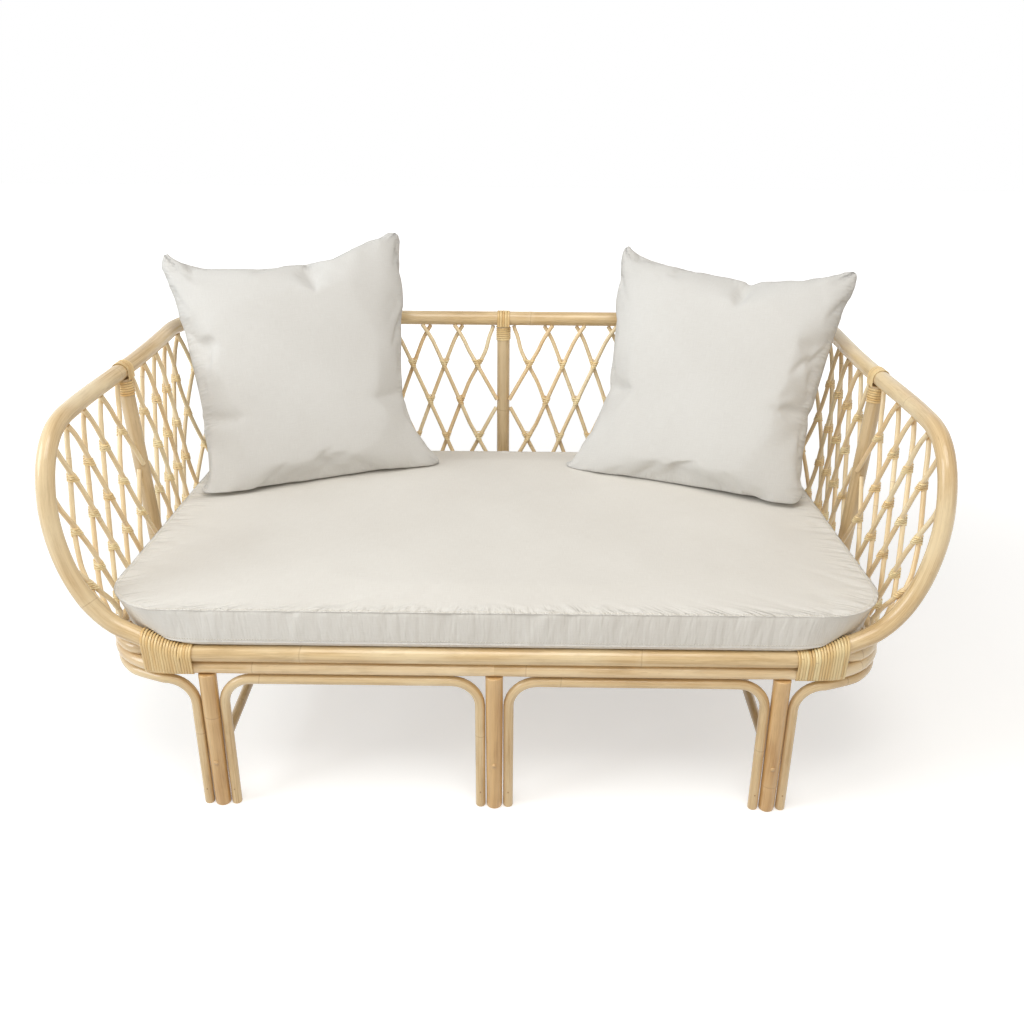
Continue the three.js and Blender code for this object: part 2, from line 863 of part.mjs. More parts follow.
// The least gap between neighbouring turns, measured on their points.
function printLeastGap(name, places) {
  let least = Infinity;
  for (const one of places) {
    for (const other of places) {
      const turnsApart = Math.abs(other.turn - one.turn);
      if (turnsApart > 1 / 2 && turnsApart < 3 / 2) {
        const apart = other.middle.clone().sub(one.middle);
        const along = Math.abs(apart.dot(one.wide));
        const beside = Math.sqrt(Math.max(0, apart.lengthSq() - along * along));
        least = Math.min(least, Math.max(along - caneWidth, beside - caneThickness));
      }
    }
  }
  console.log(`${name}: least gap between turns ${least.toFixed(2)} mm`);
}

const upperFront = upperHalf.filter((point) => point.y < ringDepth / 2);
const lowerFront = lowerHalf.filter((point) => point.y < ringDepth / 2);
const straightRail = [at(jointX + clearance * 2, 0, frontRailHeight), at(0, 0, frontRailHeight)];

// Where a pole passes a width, and how much its slant stretches its section there.
function passing(stations, x, radius) {
  for (let i = stations.length - 2; i >= 0; i -= 1) {
    const [a, b] = [stations[i], stations[i + 1]];
    if ((a.x - x) * (b.x - x) <= 0 && a.x !== b.x && a.z < railHeight - railRadius * 2) {
      const spot = a.clone().lerp(b, (x - a.x) / (b.x - a.x));
      const slant = Math.abs(b.x - a.x) / a.distanceTo(b);
      return { across: spot.y, up: spot.z, radius: (radius + clearance * 2) / slant };
    }
  }
  return null;
}

function bundleAt(x) {
  return [
    passing(loopStations, x, railRadius) ?? passing(straightRail, x, railRadius),
    passing(upperFront, x, upperRingRadius),
    passing(lowerFront, x, lowerRingRadius),
  ];
}

function reachOf(pole, angle) {
  return pole.across * Math.cos(angle) + pole.up * Math.sin(angle) + pole.radius;
}

// The pole of a bundle that reaches furthest out in one direction.
function outermost(poles, angle) {
  const reaches = poles.map((pole) => reachOf(pole, angle));
  return reaches.indexOf(Math.max(...reaches));
}

// Directions in which a cane bends round a bundle: the ends of each pole's share of the turn,
// and steps between them.
function turnStations(poles) {
  const fine = 180;
  const start = -Math.PI / 2;
  const arcs = [];
  for (let i = 0; i <= fine; i += 1) {
    const angle = start + (i / fine) * Math.PI * 2;
    const pole = outermost(poles, angle);
    const last = arcs[arcs.length - 1];
    if (last && last.pole === pole) {
      last.to = angle;
    } else {
      arcs.push({ pole, from: last ? last.to : angle, to: angle });
    }
  }
  const stations = [];
  for (const arc of arcs) {
    const steps = Math.max(1, Math.ceil((arc.to - arc.from) / longestBend));
    const chordRoom = 1 / Math.cos((arc.to - arc.from) / steps / 2);
    for (let i = 0; i <= steps; i += 1) {
      const angle = mix(arc.from, arc.to, i / steps);
      stations.push({ angle, share: (angle - start) / (Math.PI * 2), pole: arc.pole, chordRoom });
    }
  }
  return stations;
}

// Binds the loop's end, the front rail's end and both rings together beside a corner leg.
function frontBinding(side) {
  const turns = Math.floor((bindingOuterX - bindingInnerX) / canePitch);
  const places = [];
  for (let turn = 0; turn < turns; turn += 1) {
    const stations = turnStations(bundleAt(bindingInnerX + (turn + 1 / 2) * canePitch));
    for (const station of turn > 0 ? stations.slice(1) : stations) {
      const x = bindingInnerX + (turn + station.share) * canePitch;
      const pole = bundleAt(x)[station.pole];
      const edges = [x - caneWidth / 2, x, x + caneWidth / 2];
      const reaches = edges.map((edge) => reachOf(bundleAt(edge)[station.pole], station.angle));
      const lift = Math.max(...reaches) - reaches[1];
      const radius = pole.radius * station.chordRoom + lift + caneThickness / 2;
      const out = at(0, Math.cos(station.angle), Math.sin(station.angle));
      places.push({
        turn: turn + station.share,
        middle: at(x, pole.across, pole.up).addScaledVector(out, radius),
        wide: at(1, 0, 0),
        thick: out,
      });
    }
  }
  return side > 0 ? places : places.map(mirrorPlace).reverse();
}

function mirrorPlace({ turn, middle, wide, thick }) {
  return { turn, middle: sided(middle, -1), wide: sided(wide, -1), thick: sided(thick, -1) };
}

// Winds round an upright just under the rail.
function neckBinding(upright, side) {
  const top = sided(upright.top, side);
  const down = sided(upright.foot, side).sub(top).normalize();
  const across = at(0, 1, 0).cross(down).normalize();
  const beside = down.clone().cross(across);
  const radius = neckRadius - caneThickness / 2;
  const start = top.addScaledVector(down, caneWidth / 2 + clearance * 4);
  const places = [];
  for (let i = 0; i <= neckTurns * neckSteps; i += 1) {
    const turn = i / neckSteps;
    const angle = turn * Math.PI * 2;
    const thick = across.clone().multiplyScalar(Math.cos(angle))
      .addScaledVector(beside, Math.sin(angle));
    const middle = start.clone().addScaledVector(down, turn * neckPitch)
      .addScaledVector(thick, radius);
    places.push({ turn, middle, wide: down.clone(), thick });
  }
  return places;
}

// Cane strands laid side by side over the rail, down to the neck binding, as one ribbed strap.
function saddleStrap(upright, side) {
  const inner = railRadius + clearance * 3;
  const outer = inner + caneThickness;
  const foot = -railRadius;
  const arcSteps = 10;
  const corners = [];
  const addArc = (radius, fromShare, toShare) => {
    for (let i = 0; i <= arcSteps; i += 1) {
      const angle = mix(fromShare, toShare, i / arcSteps) * Math.PI;
      corners.push(new THREE.Vector2(radius * Math.cos(angle), radius * Math.sin(angle)));
    }
  };
  corners.push(new THREE.Vector2(outer, foot));
  addArc(outer, 0, 1);
  corners.push(new THREE.Vector2(-outer, foot), new THREE.Vector2(-inner, foot));
  addArc(inner, 1, 0);
  corners.push(new THREE.Vector2(inner, foot));
  const strap = new THREE.ExtrudeGeometry(new THREE.Shape(corners), {
    depth: saddleWidth,
    bevelEnabled: false,
  });
  strap.translate(0, 0, -saddleWidth / 2);
  const middle = at(upright.top.x, upright.top.y, railHeight);
  const along = nearestTangent(middle);
  const across = at(0, 0, 1).cross(along);
  const frame = new THREE.Matrix4().makeBasis(across, at(0, 0, 1), along);
  strap.applyMatrix4(frame.setPosition(middle));
  return side > 0 ? strap : geometryOf(solidOf(strap).mirror([1, 0, 0]));
}

// The rail's level direction at its point nearest to a place.
function nearestTangent(place) {
  const spread = at(0, saddleWidth, 0);
  const ahead = nearestOnPath(nearRail, place.clone().sub(spread));
  const behind = nearestOnPath(nearRail, place.clone().add(spread));
  const run = ahead.distanceTo(behind) > saddleWidth ? ahead.sub(behind) : at(1, 0, 0);
  return run.normalize();
}

function addBindings() {
  for (const [name, side] of [['left', -1], ['right', 1]]) {
    const places = frontBinding(side);
    addPiece(`front_${name}_binding`, caneSolid(places), shades.cane);
    printLeastGap(`front ${name} binding`, places);
  }
  for (const [name, upright, side] of uprights) {
    const places = neckBinding(upright, side);
    const where = name.replace('_upright', '');
    addPiece(`${where}_neck_binding`, caneSolid(places), shades.cane);
    addPiece(`${where}_saddle_strap`, saddleStrap(upright, side), shades.cane);
    printLeastGap(`${where} neck binding`, places);
  }
}

// Seat cushion

const cushionBottom = frontRailHeight + frontRailRadius + restGap;
const cushionSeamLow = cushionBottom + cushionLip;
const cushionSeamHigh = cushionSeamLow + cushionSeamHeight;
const cushionTop = cushionSeamHigh + cushionCrown;
const cushionHalfWidth = ringHalfWidth - cushionSideGap;
const cushionBackHalfWidth = cushionHalfWidth - cushionTaper;
const cushionBackY = ringDepth - cushionBackGap;

// Right half of the cushion's outline, from the middle of the front to the middle of the back.
function cushionOutline(corner) {
  const outline = new THREE.Path();
  outline.moveTo(0, cushionFrontY);
  outline.lineTo(cushionHalfWidth - corner, cushionFrontY);
  const cornerY = cushionFrontY + corner;
  outline.absarc(cushionHalfWidth - corner, cornerY, corner, -Math.PI / 2, 0, false);
  const backY = cushionBackY - cushionBackCorner;
  outline.lineTo(cushionBackHalfWidth, backY);
  const backX = cushionBackHalfWidth - cushionBackCorner;
  outline.absarc(backX, backY, cushionBackCorner, 0, Math.PI / 2, false);
  outline.lineTo(0, cushionBackY);
  return outline.getSpacedPoints(cushionStations);
}

// Levels of the cushion from the underside up: how much of the corner's change from the bottom
// to the top has happened, the inset from the outline and the height.
function cushionLevels() {
  const wide = cushionHalfWidth;
  const middle = mix(cushionSeamLow, cushionSeamHigh, 1 / 2);
  return [
    [0, wide * farInsetShare, cushionBottom],
    [0, cushionLip * lipInsetShare, cushionBottom],
    [0, cushionLip / 2, mix(cushionBottom, cushionSeamLow, lipRiseShare)],
    [0, 0, cushionSeamLow],
    [1 / 2, cushionDrawIn, middle],
    [1, 0, cushionSeamHigh],
    [1, cushionLip, mix(cushionSeamHigh, cushionTop, edgeRiseShare)],
    [1, wide * crownInsetShare, mix(cushionSeamHigh, cushionTop, crownRiseShare)],
    [1, wide * farInsetShare, cushionTop],
  ];
}

// A closed skin over rings of points, with a middle point at each end.
function skinOver(rings, startMiddle, endMiddle) {
  const count = rings[0].length;
  const positions = [];
  rings.flat().forEach((p) => positions.push(p.x, p.y, p.z));
  positions.push(startMiddle.x, startMiddle.y, startMiddle.z);
  positions.push(endMiddle.x, endMiddle.y, endMiddle.z);
  const index = [];
  for (let r = 0; r + 1 < rings.length; r += 1) {
    for (let i = 0; i < count; i += 1) {
      const a = r * count + i;
      const b = r * count + ((i + 1) % count);
      index.push(a, b, b + count, a, b + count, a + count);
    }
  }
  const first = rings.length * count;
  const last = (rings.length - 1) * count;
  for (let i = 0; i < count; i += 1) {
    const next = (i + 1) % count;
    index.push(first, next, i, first + 1, last + i, last + next);
  }
  const geometry = new THREE.BufferGeometry();
  geometry.setAttribute('position', new THREE.Float32BufferAttribute(positions, 3));
  geometry.setIndex(index);
  geometry.computeVertexNormals();
  return geometry;
}

function addCushion() {
  const middleY = mix(cushionFrontY, cushionBackY, 1 / 2);
  const halfDepth = (cushionBackY - cushionFrontY) / 2;
  const rings = cushionLevels().map(([change, inset, height]) => {
    const half = cushionOutline(mix(cushionBottomCorner, cushionTopCorner, change));
    const outline = [...half, ...half.slice(1, -1).map((p) => ({ x: -p.x, y: p.y })).reverse()];
    const shareX = 1 - inset / cushionHalfWidth;
    const shareY = 1 - inset / halfDepth;
    return outline.map((p) => at(p.x * shareX, middleY + (p.y - middleY) * shareY, height));
  });
  const whole = solidOf(skinOver(rings, at(0, middleY, cushionBottom), at(0, middleY, cushionTop)));
  const room = bindingRoom();
  const cushion = whole.subtract(room).subtract(room.mirror([1, 0, 0]));
  addPiece('seat_cushion', geometryOf(cushion), shades.canvas, 0.9);
}

// The space that the right front binding takes up, with room to spare, where the cushion's
// corner lies over it.
function bindingRoom() {
  const directions = 24;
  const sections = 9;
  const lift = caneThickness * 2 + restGap * 2;
  const rings = [];
  for (let section = 0; section < sections; section += 1) {
    const share = section / (sections - 1);
    const x = mix(bindingInnerX - caneWidth, bindingOuterX + caneWidth, share);
    const poles = bundleAt(x);
    const ring = [];
    for (let i = 0; i < directions; i += 1) {
      const angle = (i / directions) * Math.PI * 2;
      const pole = poles[outermost(poles, angle)];
      const radius = (pole.radius + lift) / Math.cos(Math.PI / directions);
      ring.push(at(x, pole.across + radius * Math.cos(angle), pole.up + radius * Math.sin(angle)));
    }
    rings.push(ring);
  }
  const middles = [rings[0], rings[rings.length - 1]].map((ring) => {
    const centre = at(0, 0, 0);
    ring.forEach((point) => centre.add(point));
    return centre.multiplyScalar(1 / ring.length);
  });
  return solidOf(skinOver(rings, middles[0], middles[1]));
}

// Pillows: two faces of a square that meet in a knife edge, with drawn-in sides

const pillowBodies = [
  ['pillow_left', -1, pillowLeftPlace],
  ['pillow_right', 1, pillowRightPlace],
];

function pillowRing(inset, face) {
  const points = [];
  const perSide = 9;
  const sides = [[-1, -1, 1, 0], [1, -1, 0, 1], [1, 1, -1, 0], [-1, 1, 0, -1]];
  for (const [startU, startV, stepU, stepV] of sides) {
    for (let i = 0; i < perSide; i += 1) {
      const u = (startU + (2 * stepU * i) / perSide) * (1 - inset);
      const v = (startV + (2 * stepV * i) / perSide) * (1 - inset);
      points.push(pillowPoint(u, v, face));
    }
  }
  return points;
}

// A point of a pillow's face: u and v run from -1 to 1 across it, the face is -1, 0 or 1.
function pillowPoint(u, v, face) {
  const puffU = Math.max(0, 1 - u * u);
  const puffV = Math.max(0, 1 - v * v);
  const puff = (puffU * puffV) ** pillowPuffShare;
  const drawIn = v > 0 ? pillowTopDrawIn : pillowFootDrawIn;
  const x = u * (pillowSize / 2 - pillowSideDrawIn * puffV);
  const z = pillowHeight / 2 + v * (pillowHeight / 2 - drawIn * puffU);
  return at(x, (face * pillowThickness * puff) / 2, z);
}

function addPillows() {
  const insetShares = [0.7, 0.42, 0.2, 0.06];
  for (const [name, side, place] of pillowBodies) {
    const back = insetShares.map((inset) => pillowRing(inset, 1));
    const edge = pillowRing(0, 0);
    const front = insetShares.map((inset) => pillowRing(inset, -1)).reverse();
    const rings = [...back, edge, ...front];
    const geometry = skinOver(rings, pillowPoint(0, 0, 1), pillowPoint(0, 0, -1));
    geometry.applyMatrix4(new THREE.Matrix4().makeShear(0, 0, 0, 0, side * pillowLeanOutShare, 0));
    geometry.rotateX(-THREE.MathUtils.degToRad(place.lean));
    geometry.rotateZ(-side * THREE.MathUtils.degToRad(place.turn));
    const rest = cushionTop + restGap;
    const placeX = side * (cushionHalfWidth - place.fromSide);
    const placeY = cushionBackY - place.fromBack;
    geometry.translate(placeX, placeY, rest - pillowSink);
    const below = new THREE.BoxGeometry(pillowSize * 2, pillowSize * 2, pillowSink * 2);
    below.translate(placeX, placeY, rest - pillowSink);
    const pillow = solidOf(geometry).subtract(solidOf(below));
    addPiece(name, geometryOf(pillow), shades.pillow, 0.9);
  }
}

addRails();
addRings();
addLegs();
addArches();
addSideArches();
addStretchers();
addDeck();
addUprights();
addLattice();
addBindings();
addCushion();
addPillows();

// Sets the sofa over the middle of its own plan.
const extent = new THREE.Box3().setFromObject(sofa);
const middle = extent.getCenter(new THREE.Vector3());
sofa.position.set(-middle.x, -middle.y, -extent.min.z);

export default sofa;
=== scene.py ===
import math

import bpy
import numpy as np
from mathutils import Matrix, Vector


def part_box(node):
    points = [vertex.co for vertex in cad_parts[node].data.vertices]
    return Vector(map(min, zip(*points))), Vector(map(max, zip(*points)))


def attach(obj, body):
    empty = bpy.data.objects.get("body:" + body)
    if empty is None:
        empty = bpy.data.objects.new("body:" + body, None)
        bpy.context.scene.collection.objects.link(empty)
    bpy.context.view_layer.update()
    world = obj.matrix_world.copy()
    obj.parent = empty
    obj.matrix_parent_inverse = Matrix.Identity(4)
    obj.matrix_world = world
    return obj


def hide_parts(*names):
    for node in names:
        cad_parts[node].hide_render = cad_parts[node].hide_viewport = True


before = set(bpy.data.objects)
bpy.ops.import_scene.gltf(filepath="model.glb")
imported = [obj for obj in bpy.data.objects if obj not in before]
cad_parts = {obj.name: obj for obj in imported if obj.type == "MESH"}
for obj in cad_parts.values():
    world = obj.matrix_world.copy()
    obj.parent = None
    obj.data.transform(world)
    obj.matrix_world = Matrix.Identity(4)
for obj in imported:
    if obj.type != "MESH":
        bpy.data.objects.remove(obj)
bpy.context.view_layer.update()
print("frame loaded:", len(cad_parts), "nodes")


def addObject(name, data):
    thing = bpy.data.objects.new(name, data)
    bpy.context.scene.collection.objects.link(thing)
    return thing


# the camera has the view of a standing person in front of the sofa
view = {"place": (0.0421, -1.9746, 1.3207), "lens": 38.09, "lookDown": 24.99, "turn": 0.49, "roll": 0.38}


def addCamera():
    data = bpy.data.cameras.new("sofaCamera")
    data.lens = view["lens"]
    data.sensor_width = 36
    data.clip_end = 50
    camera = addObject("sofaCamera", data)
    turn = Matrix.Rotation(math.radians(view["turn"]), 4, "Z")
    tilt = Matrix.Rotation(math.radians(90 - view["lookDown"]), 4, "X")
    roll = Matrix.Rotation(math.radians(view["roll"]), 4, "Z")
    camera.matrix_world = Matrix.Translation(view["place"]) @ turn @ tilt @ roll
    bpy.context.scene.camera = camera


addCamera()
print("camera placed")


# a wire is a node's output, and each sum made with it adds a Math node
class Wire:
    def __init__(self, tree, socket):
        self.tree = tree
        self.socket = socket

    def maths(self, operation, other=0.0, clamp=False):
        return wired(self.tree, "ShaderNodeMath", {0: self, 1: other}, operation=operation, use_clamp=clamp)

    def __add__(self, other):
        return self.maths("ADD", other)

    def __sub__(self, other):
        return self.maths("SUBTRACT", other)

    def __mul__(self, other):
        return self.maths("MULTIPLY", other)

    def __truediv__(self, other):
        return self.maths("DIVIDE", other)

    def between(self, low, high, toLow=0.0, toHigh=1.0, soft=False):
        ends = {"Value": self, "From Min": low, "From Max": high, "To Min": toLow, "To Max": toHigh}
        course = "SMOOTHSTEP" if soft else "LINEAR"
        return wired(self.tree, "ShaderNodeMapRange", ends, interpolation_type=course)


def addNode(tree, kind, inputs=None, **settings):
    node = tree.nodes.new(kind)
    for name, value in settings.items():
        setattr(node, name, value)
    for key, value in (inputs or {}).items():
        if isinstance(value, Wire):
            tree.links.new(value.socket, node.inputs[key])
        else:
            node.inputs[key].default_value = value
    return node


def wired(tree, kind, inputs=None, output=0, **settings):
    return Wire(tree, addNode(tree, kind, inputs, **settings).outputs[output])


# inputs 6 and 7 and output 2 are the colours of a Mix node
def addMix(tree, factor, a, b, blend="MIX"):
    return wired(tree, "ShaderNodeMix", {0: factor, 6: a, 7: b}, 2, data_type="RGBA", blend_type=blend)


def tinted(tree, tone, tint):
    return addMix(tree, 1.0, tone, tint, "MULTIPLY")


def addNoise(tree, place, density, detail=2.0, roughness=0.5):
    stretched = wired(tree, "ShaderNodeVectorMath", {0: place, 1: density}, operation="MULTIPLY")
    settings = {"Vector": stretched, "Scale": 1.0, "Detail": detail, "Roughness": roughness}
    return wired(tree, "ShaderNodeTexNoise", settings, "Fac")


def split(tree, vector):
    return [Wire(tree, output) for output in addNode(tree, "ShaderNodeSeparateXYZ", {0: vector}).outputs]


def joined(tree, x, y, z):
    return wired(tree, "ShaderNodeCombineXYZ", {0: x, 1: y, 2: z})


def ringDistance(along, spacing, pole):
    turns = (along / spacing + pole).maths("FRACT")
    return (turns - 0.5).maths("ABSOLUTE") * spacing


def newGroup(name, kind, inputs, outputs):
    tree = bpy.data.node_groups.new(name, kind)
    for label, (socketKind, value) in inputs.items():
        socket = tree.interface.new_socket(name=label, in_out="INPUT", socket_type="NodeSocket" + socketKind)
        if value is not None:
            socket.default_value = value
    for label, socketKind in outputs.items():
        tree.interface.new_socket(name=label, in_out="OUTPUT", socket_type="NodeSocket" + socketKind)
    source, result = tree.nodes.new("NodeGroupInput"), tree.nodes.new("NodeGroupOutput")
    return tree, {label: Wire(tree, source.outputs[label]) for label in inputs}, result


def linkAll(tree, wires, node):
    for label, wire in wires.items():
        tree.links.new(wire.socket, node.inputs[label])


def colour(red, green, blue):
    shares = [value / 255 for value in (red, green, blue)]
    return (*(s / 12.92 if s <= 0.04045 else ((s + 0.055) / 1.055) ** 2.4 for s in shares), 1)


# finishes: shades run from pale to deep, growth is the distance in metres between two growth rings
rattan = {
    "rail": {"shades": [(246, 227, 187), (231, 203, 154), (199, 165, 113)], "growth": 0.58},
    # the ring shades are the rail's real rattan tones, lifted by about a twentieth as painted light against
    # the shade that the rail casts on the seat rings
    "ring": {"shades": [(250, 230, 192), (239, 211, 165), (211, 178, 127)], "growth": 0.58},
    "post": {"shades": [(230, 197, 145), (216, 177, 118), (188, 143, 86)], "growth": 0.58},
    "upright": {"shades": [(229, 206, 165), (212, 187, 144), (186, 158, 114)], "growth": 0.58},
    "thin": {"shades": [(240, 217, 174), (225, 197, 148), (196, 161, 109)], "growth": 0.47},
    "stick": {"shades": [(254, 242, 208), (249, 230, 188), (232, 200, 152)], "growth": 0.31,
              "coat": 0.5, "variation": 0.6},
    "winding": {"shades": [(250, 233, 184), (238, 211, 154), (214, 176, 114)], "growth": 0.9,
                "coat": 0.35, "variation": 0.7},
    "strap": {"shades": [(250, 233, 184), (238, 211, 154), (214, 176, 114)], "growth": 0.9,
              "coat": 0.4, "variation": 1.0},
    "knot": {"shades": [(255, 247, 208), (254, 236, 184), (238, 204, 148)], "growth": 0.9,
             "coat": 0.25, "variation": 0.5},
    "nail": {"shades": [(196, 158, 112), (178, 140, 96), (150, 114, 76)], "growth": 0.9, "coat": 0.2},
}
canvas = {
    "seat": {"light": (234, 231, 225), "dark": (224, 220, 213)},
    "pillow": {"light": (225, 224, 221), "dark": (215, 213, 209)},
    "sewing": {"light": (240, 236, 226), "dark": (222, 216, 204)},
    "thread": 0.0011, "puckerDepth": 0.0035,
}
surface = {"Color": "Color", "Roughness": "Float", "Normal": "Vector"}  # what a skin gives its shader

# noise: its density across and along, then its detail and roughness
# levels: the noise that gives least and most, then the least and most that it gives
graining = {
    "fine": ((900, 900, 17), 3.0, 0.6), "fineShare": 0.45,
    "streak": ((190, 190, 6), 3.0, 0.55), "streakLevels": (0.36, 0.62),
    "cloud": ((16, 16, 5),), "cloudLevels": (0.42, 0.68, 0.0, 0.75),
    "stain": ((60, 60, 11), 4.0, 0.7), "stainLevels": (0.5, 0.72, 0.0, 0.8),
    "fleck": ((420, 420, 45), 1.0), "fleckLevels": (0.7, 0.8, 0.0, 0.3), "stainTint": (0.8, 0.77, 0.72, 1),
    "poleShift": (7.3, 3.1, 11.7), "poleLuck": 7.31, "poleTint": (1.0, 0.9, 0.8, 1),
    "ringSlant": 0.12, "ringEdge": (0.0016, 0.0003), "ringTint": (0.62, 0.5, 0.4, 1), "ringShade": 0.3,
    "bandEdge": (0.014, 0.002), "bandShade": 0.14, "relief": 0.5, "ringRelief": 1.2,
    "bump": {"Strength": 0.55, "Distance": 0.0004}, "roughness": (0.3, 0.7, 0.5, 0.38),
}
weaving = {
    "warp": ((900, 45, 45),), "weft": ((45, 900, 45),), "cloud": ((5, 5, 5), 3.0), "gathers": ((62, 13, 0),),
    "slubLevels": (0.35, 0.65, 0.0, 0.6), "cloudLevels": (0.35, 0.65, 0.0, 0.4), "threadShade": 0.12,
    "gatherLevels": (0.3, 0.7), "threadRelief": 0.25, "slubRelief": 0.8,
    "bump": {"Strength": 0.35, "Distance": 0.0003}, "roughness": (0.3, 0.7, 0.86, 0.96),
}


def makeRattanSkin():
    tree, given, result = newGroup("rattanSkin", "ShaderNodeTree", {
        "Grain": ("Vector", None), "Pole": ("Float", 0.0), "Pale": ("Color", None), "Base": ("Color", None),
        "Deep": ("Color", None), "Growth Spacing": ("Float", 0.3), "Pole Variation": ("Float", 0.3)}, surface)
    pole = given["Pole"]
    shift = joined(tree, *(pole * step for step in graining["poleShift"]))
    place = wired(tree, "ShaderNodeVectorMath", {0: given["Grain"], 1: shift}, operation="ADD")
    fine, streak, cloud, stain, fleck = (addNoise(tree, place, *graining[name])
                                         for name in ("fine", "streak", "cloud", "stain", "fleck"))
    streak = streak * (1 - graining["fineShare"]) + fine * graining["fineShare"]
    tone = addMix(tree, streak.between(*graining["streakLevels"]), given["Deep"], given["Base"])
    tone = addMix(tree, cloud.between(*graining["cloudLevels"]), tone, given["Pale"])
    stained = tinted(tree, tone, graining["stainTint"])
    tone = addMix(tree, stain.between(*graining["stainLevels"]), tone, stained)
    luck = (pole * graining["poleLuck"]).maths("FRACT") * given["Pole Variation"]
    tone = addMix(tree, luck, tone, tinted(tree, tone, graining["poleTint"]))
    parts = split(tree, given["Grain"])
    distance = ringDistance(parts[2] + parts[0] * graining["ringSlant"], given["Growth Spacing"], pole)
    ring = distance.between(*graining["ringEdge"], soft=True)
    band = distance.between(*graining["bandEdge"], soft=True)
    tone = addMix(tree, band * graining["bandShade"], tone, given["Pale"])
    dark = (ring * graining["ringShade"]).maths("ADD", fleck.between(*graining["fleckLevels"]), clamp=True)
    tone = addMix(tree, dark, tone, tinted(tree, given["Deep"], graining["ringTint"]))
    height = fine * graining["relief"] - ring * graining["ringRelief"]
    bump = wired(tree, "ShaderNodeBump", {"Height": height, **graining["bump"]})
    linkAll(tree, {"Color": tone, "Roughness": fine.between(*graining["roughness"]), "Normal": bump}, result)
    return tree


def makeCanvasWeave():
    tree, given, result = newGroup("canvasWeave", "ShaderNodeTree", {
        "Cloth": ("Vector", None), "Light": ("Color", None), "Dark": ("Color", None),
        "Thread": ("Float", 0.001), "Seam": ("Vector", None), "Puckers": ("Float", 0.0)}, surface)
    parts = split(tree, given["Cloth"])
    beat = wired(tree, "ShaderNodeMath", {0: math.pi, 1: given["Thread"]}, operation="DIVIDE")
    weave = (parts[0] * beat).maths("SINE") * (parts[1] * beat).maths("SINE")
    warp, weft, cloud = (addNoise(tree, given["Cloth"], *weaving[name]) for name in ("warp", "weft", "cloud"))
    slub = (warp + weft) * 0.5
    shade = slub.between(*weaving["slubLevels"]) + cloud.between(*weaving["cloudLevels"])
    shade = shade.maths("ADD", weave * weaving["threadShade"], clamp=True)
    gathers = addNoise(tree, given["Seam"], *weaving["gathers"]).between(*weaving["gatherLevels"], soft=True)
    gathered = {"Strength": 1.0, "Distance": canvas["puckerDepth"], "Height": gathers * given["Puckers"]}
    puckered = wired(tree, "ShaderNodeBump", gathered)
    height = weave * weaving["threadRelief"] + slub * weaving["slubRelief"]
    bump = wired(tree, "ShaderNodeBump", {"Height": height, "Normal": puckered, **weaving["bump"]})
    linkAll(tree, {"Color": addMix(tree, shade, given["Dark"], given["Light"]),
                   "Roughness": slub.between(*weaving["roughness"]), "Normal": bump}, result)
    return tree


rattanSkin = makeRattanSkin()
canvasWeave = makeCanvasWeave()


def newMaterial(name):
    material = bpy.data.materials.new(name)
    material.use_nodes = True
    return material, material.node_tree, material.node_tree.nodes["Principled BSDF"]


def setAll(node, values):
    for label, value in values.items():
        node.inputs[label].default_value = value


def skinnedMaterial(name, skin, inputs, values):
    material, tree, shader = newMaterial(name)
    effect = addNode(tree, "ShaderNodeGroup", node_tree=skin)
    for label, (kind, output, settings) in inputs.items():
        tree.links.new(addNode(tree, kind, **settings).outputs[output], effect.inputs[label])
    setAll(effect, values)
    for label in surface:
        tree.links.new(effect.outputs[label], shader.inputs["Base Color" if label == "Color" else label])
    return material, shader


def rattanMaterial(name, shades, growth, coat=0.75, variation=0.25):
    inputs = {"Grain": ("ShaderNodeAttribute", "Vector", {"attribute_name": "grain"}),
              "Pole": ("ShaderNodeAttribute", "Fac", {"attribute_name": "pole"})}
    values = {"Growth Spacing": growth, "Pole Variation": variation}
    values.update({label: colour(*shade) for label, shade in zip(("Pale", "Base", "Deep"), shades)})
    material, shader = skinnedMaterial(name + "Rattan", rattanSkin, inputs, values)
    setAll(shader, {"Coat Weight": coat, "Coat Roughness": 0.14, "Specular IOR Level": 0.45})
    return material


def canvasMaterial(name):
    inputs = {"Cloth": ("ShaderNodeUVMap", "UV", {"uv_map": "cloth"}),
              "Seam": ("ShaderNodeUVMap", "UV", {"uv_map": "seam"}),
              "Puckers": ("ShaderNodeAttribute", "Fac", {"attribute_name": "puckers"})}
    values = {"Light": colour(*canvas[name]["light"]), "Dark": colour(*canvas[name]["dark"]),
              "Thread": canvas["thread"]}
    material, shader = skinnedMaterial(name + "Canvas", canvasWeave, inputs, values)
    setAll(shader, {"Sheen Weight": 0.12, "Sheen Roughness": 0.6, "Specular IOR Level": 0.2})
    return material


def threadMaterial():
    material, tree, shader = newMaterial("sewingThread")
    twist = addNoise(tree, wired(tree, "ShaderNodeTexCoord", output="Object"), (900, 900, 900), 1.0)
    dark, light = (colour(*canvas["sewing"][key]) for key in ("dark", "light"))
    tree.links.new(addMix(tree, twist, dark, light).socket, shader.inputs["Base Color"])
    shader.inputs["Roughness"].default_value = 0.7
    return material


materials = {name: rattanMaterial(name, **values) for name, values in rattan.items()}
materials.update({name: canvasMaterial(name) for name in ("seat", "pillow")})
materials["thread"] = threadMaterial()
print("finishes made:", len(materials))


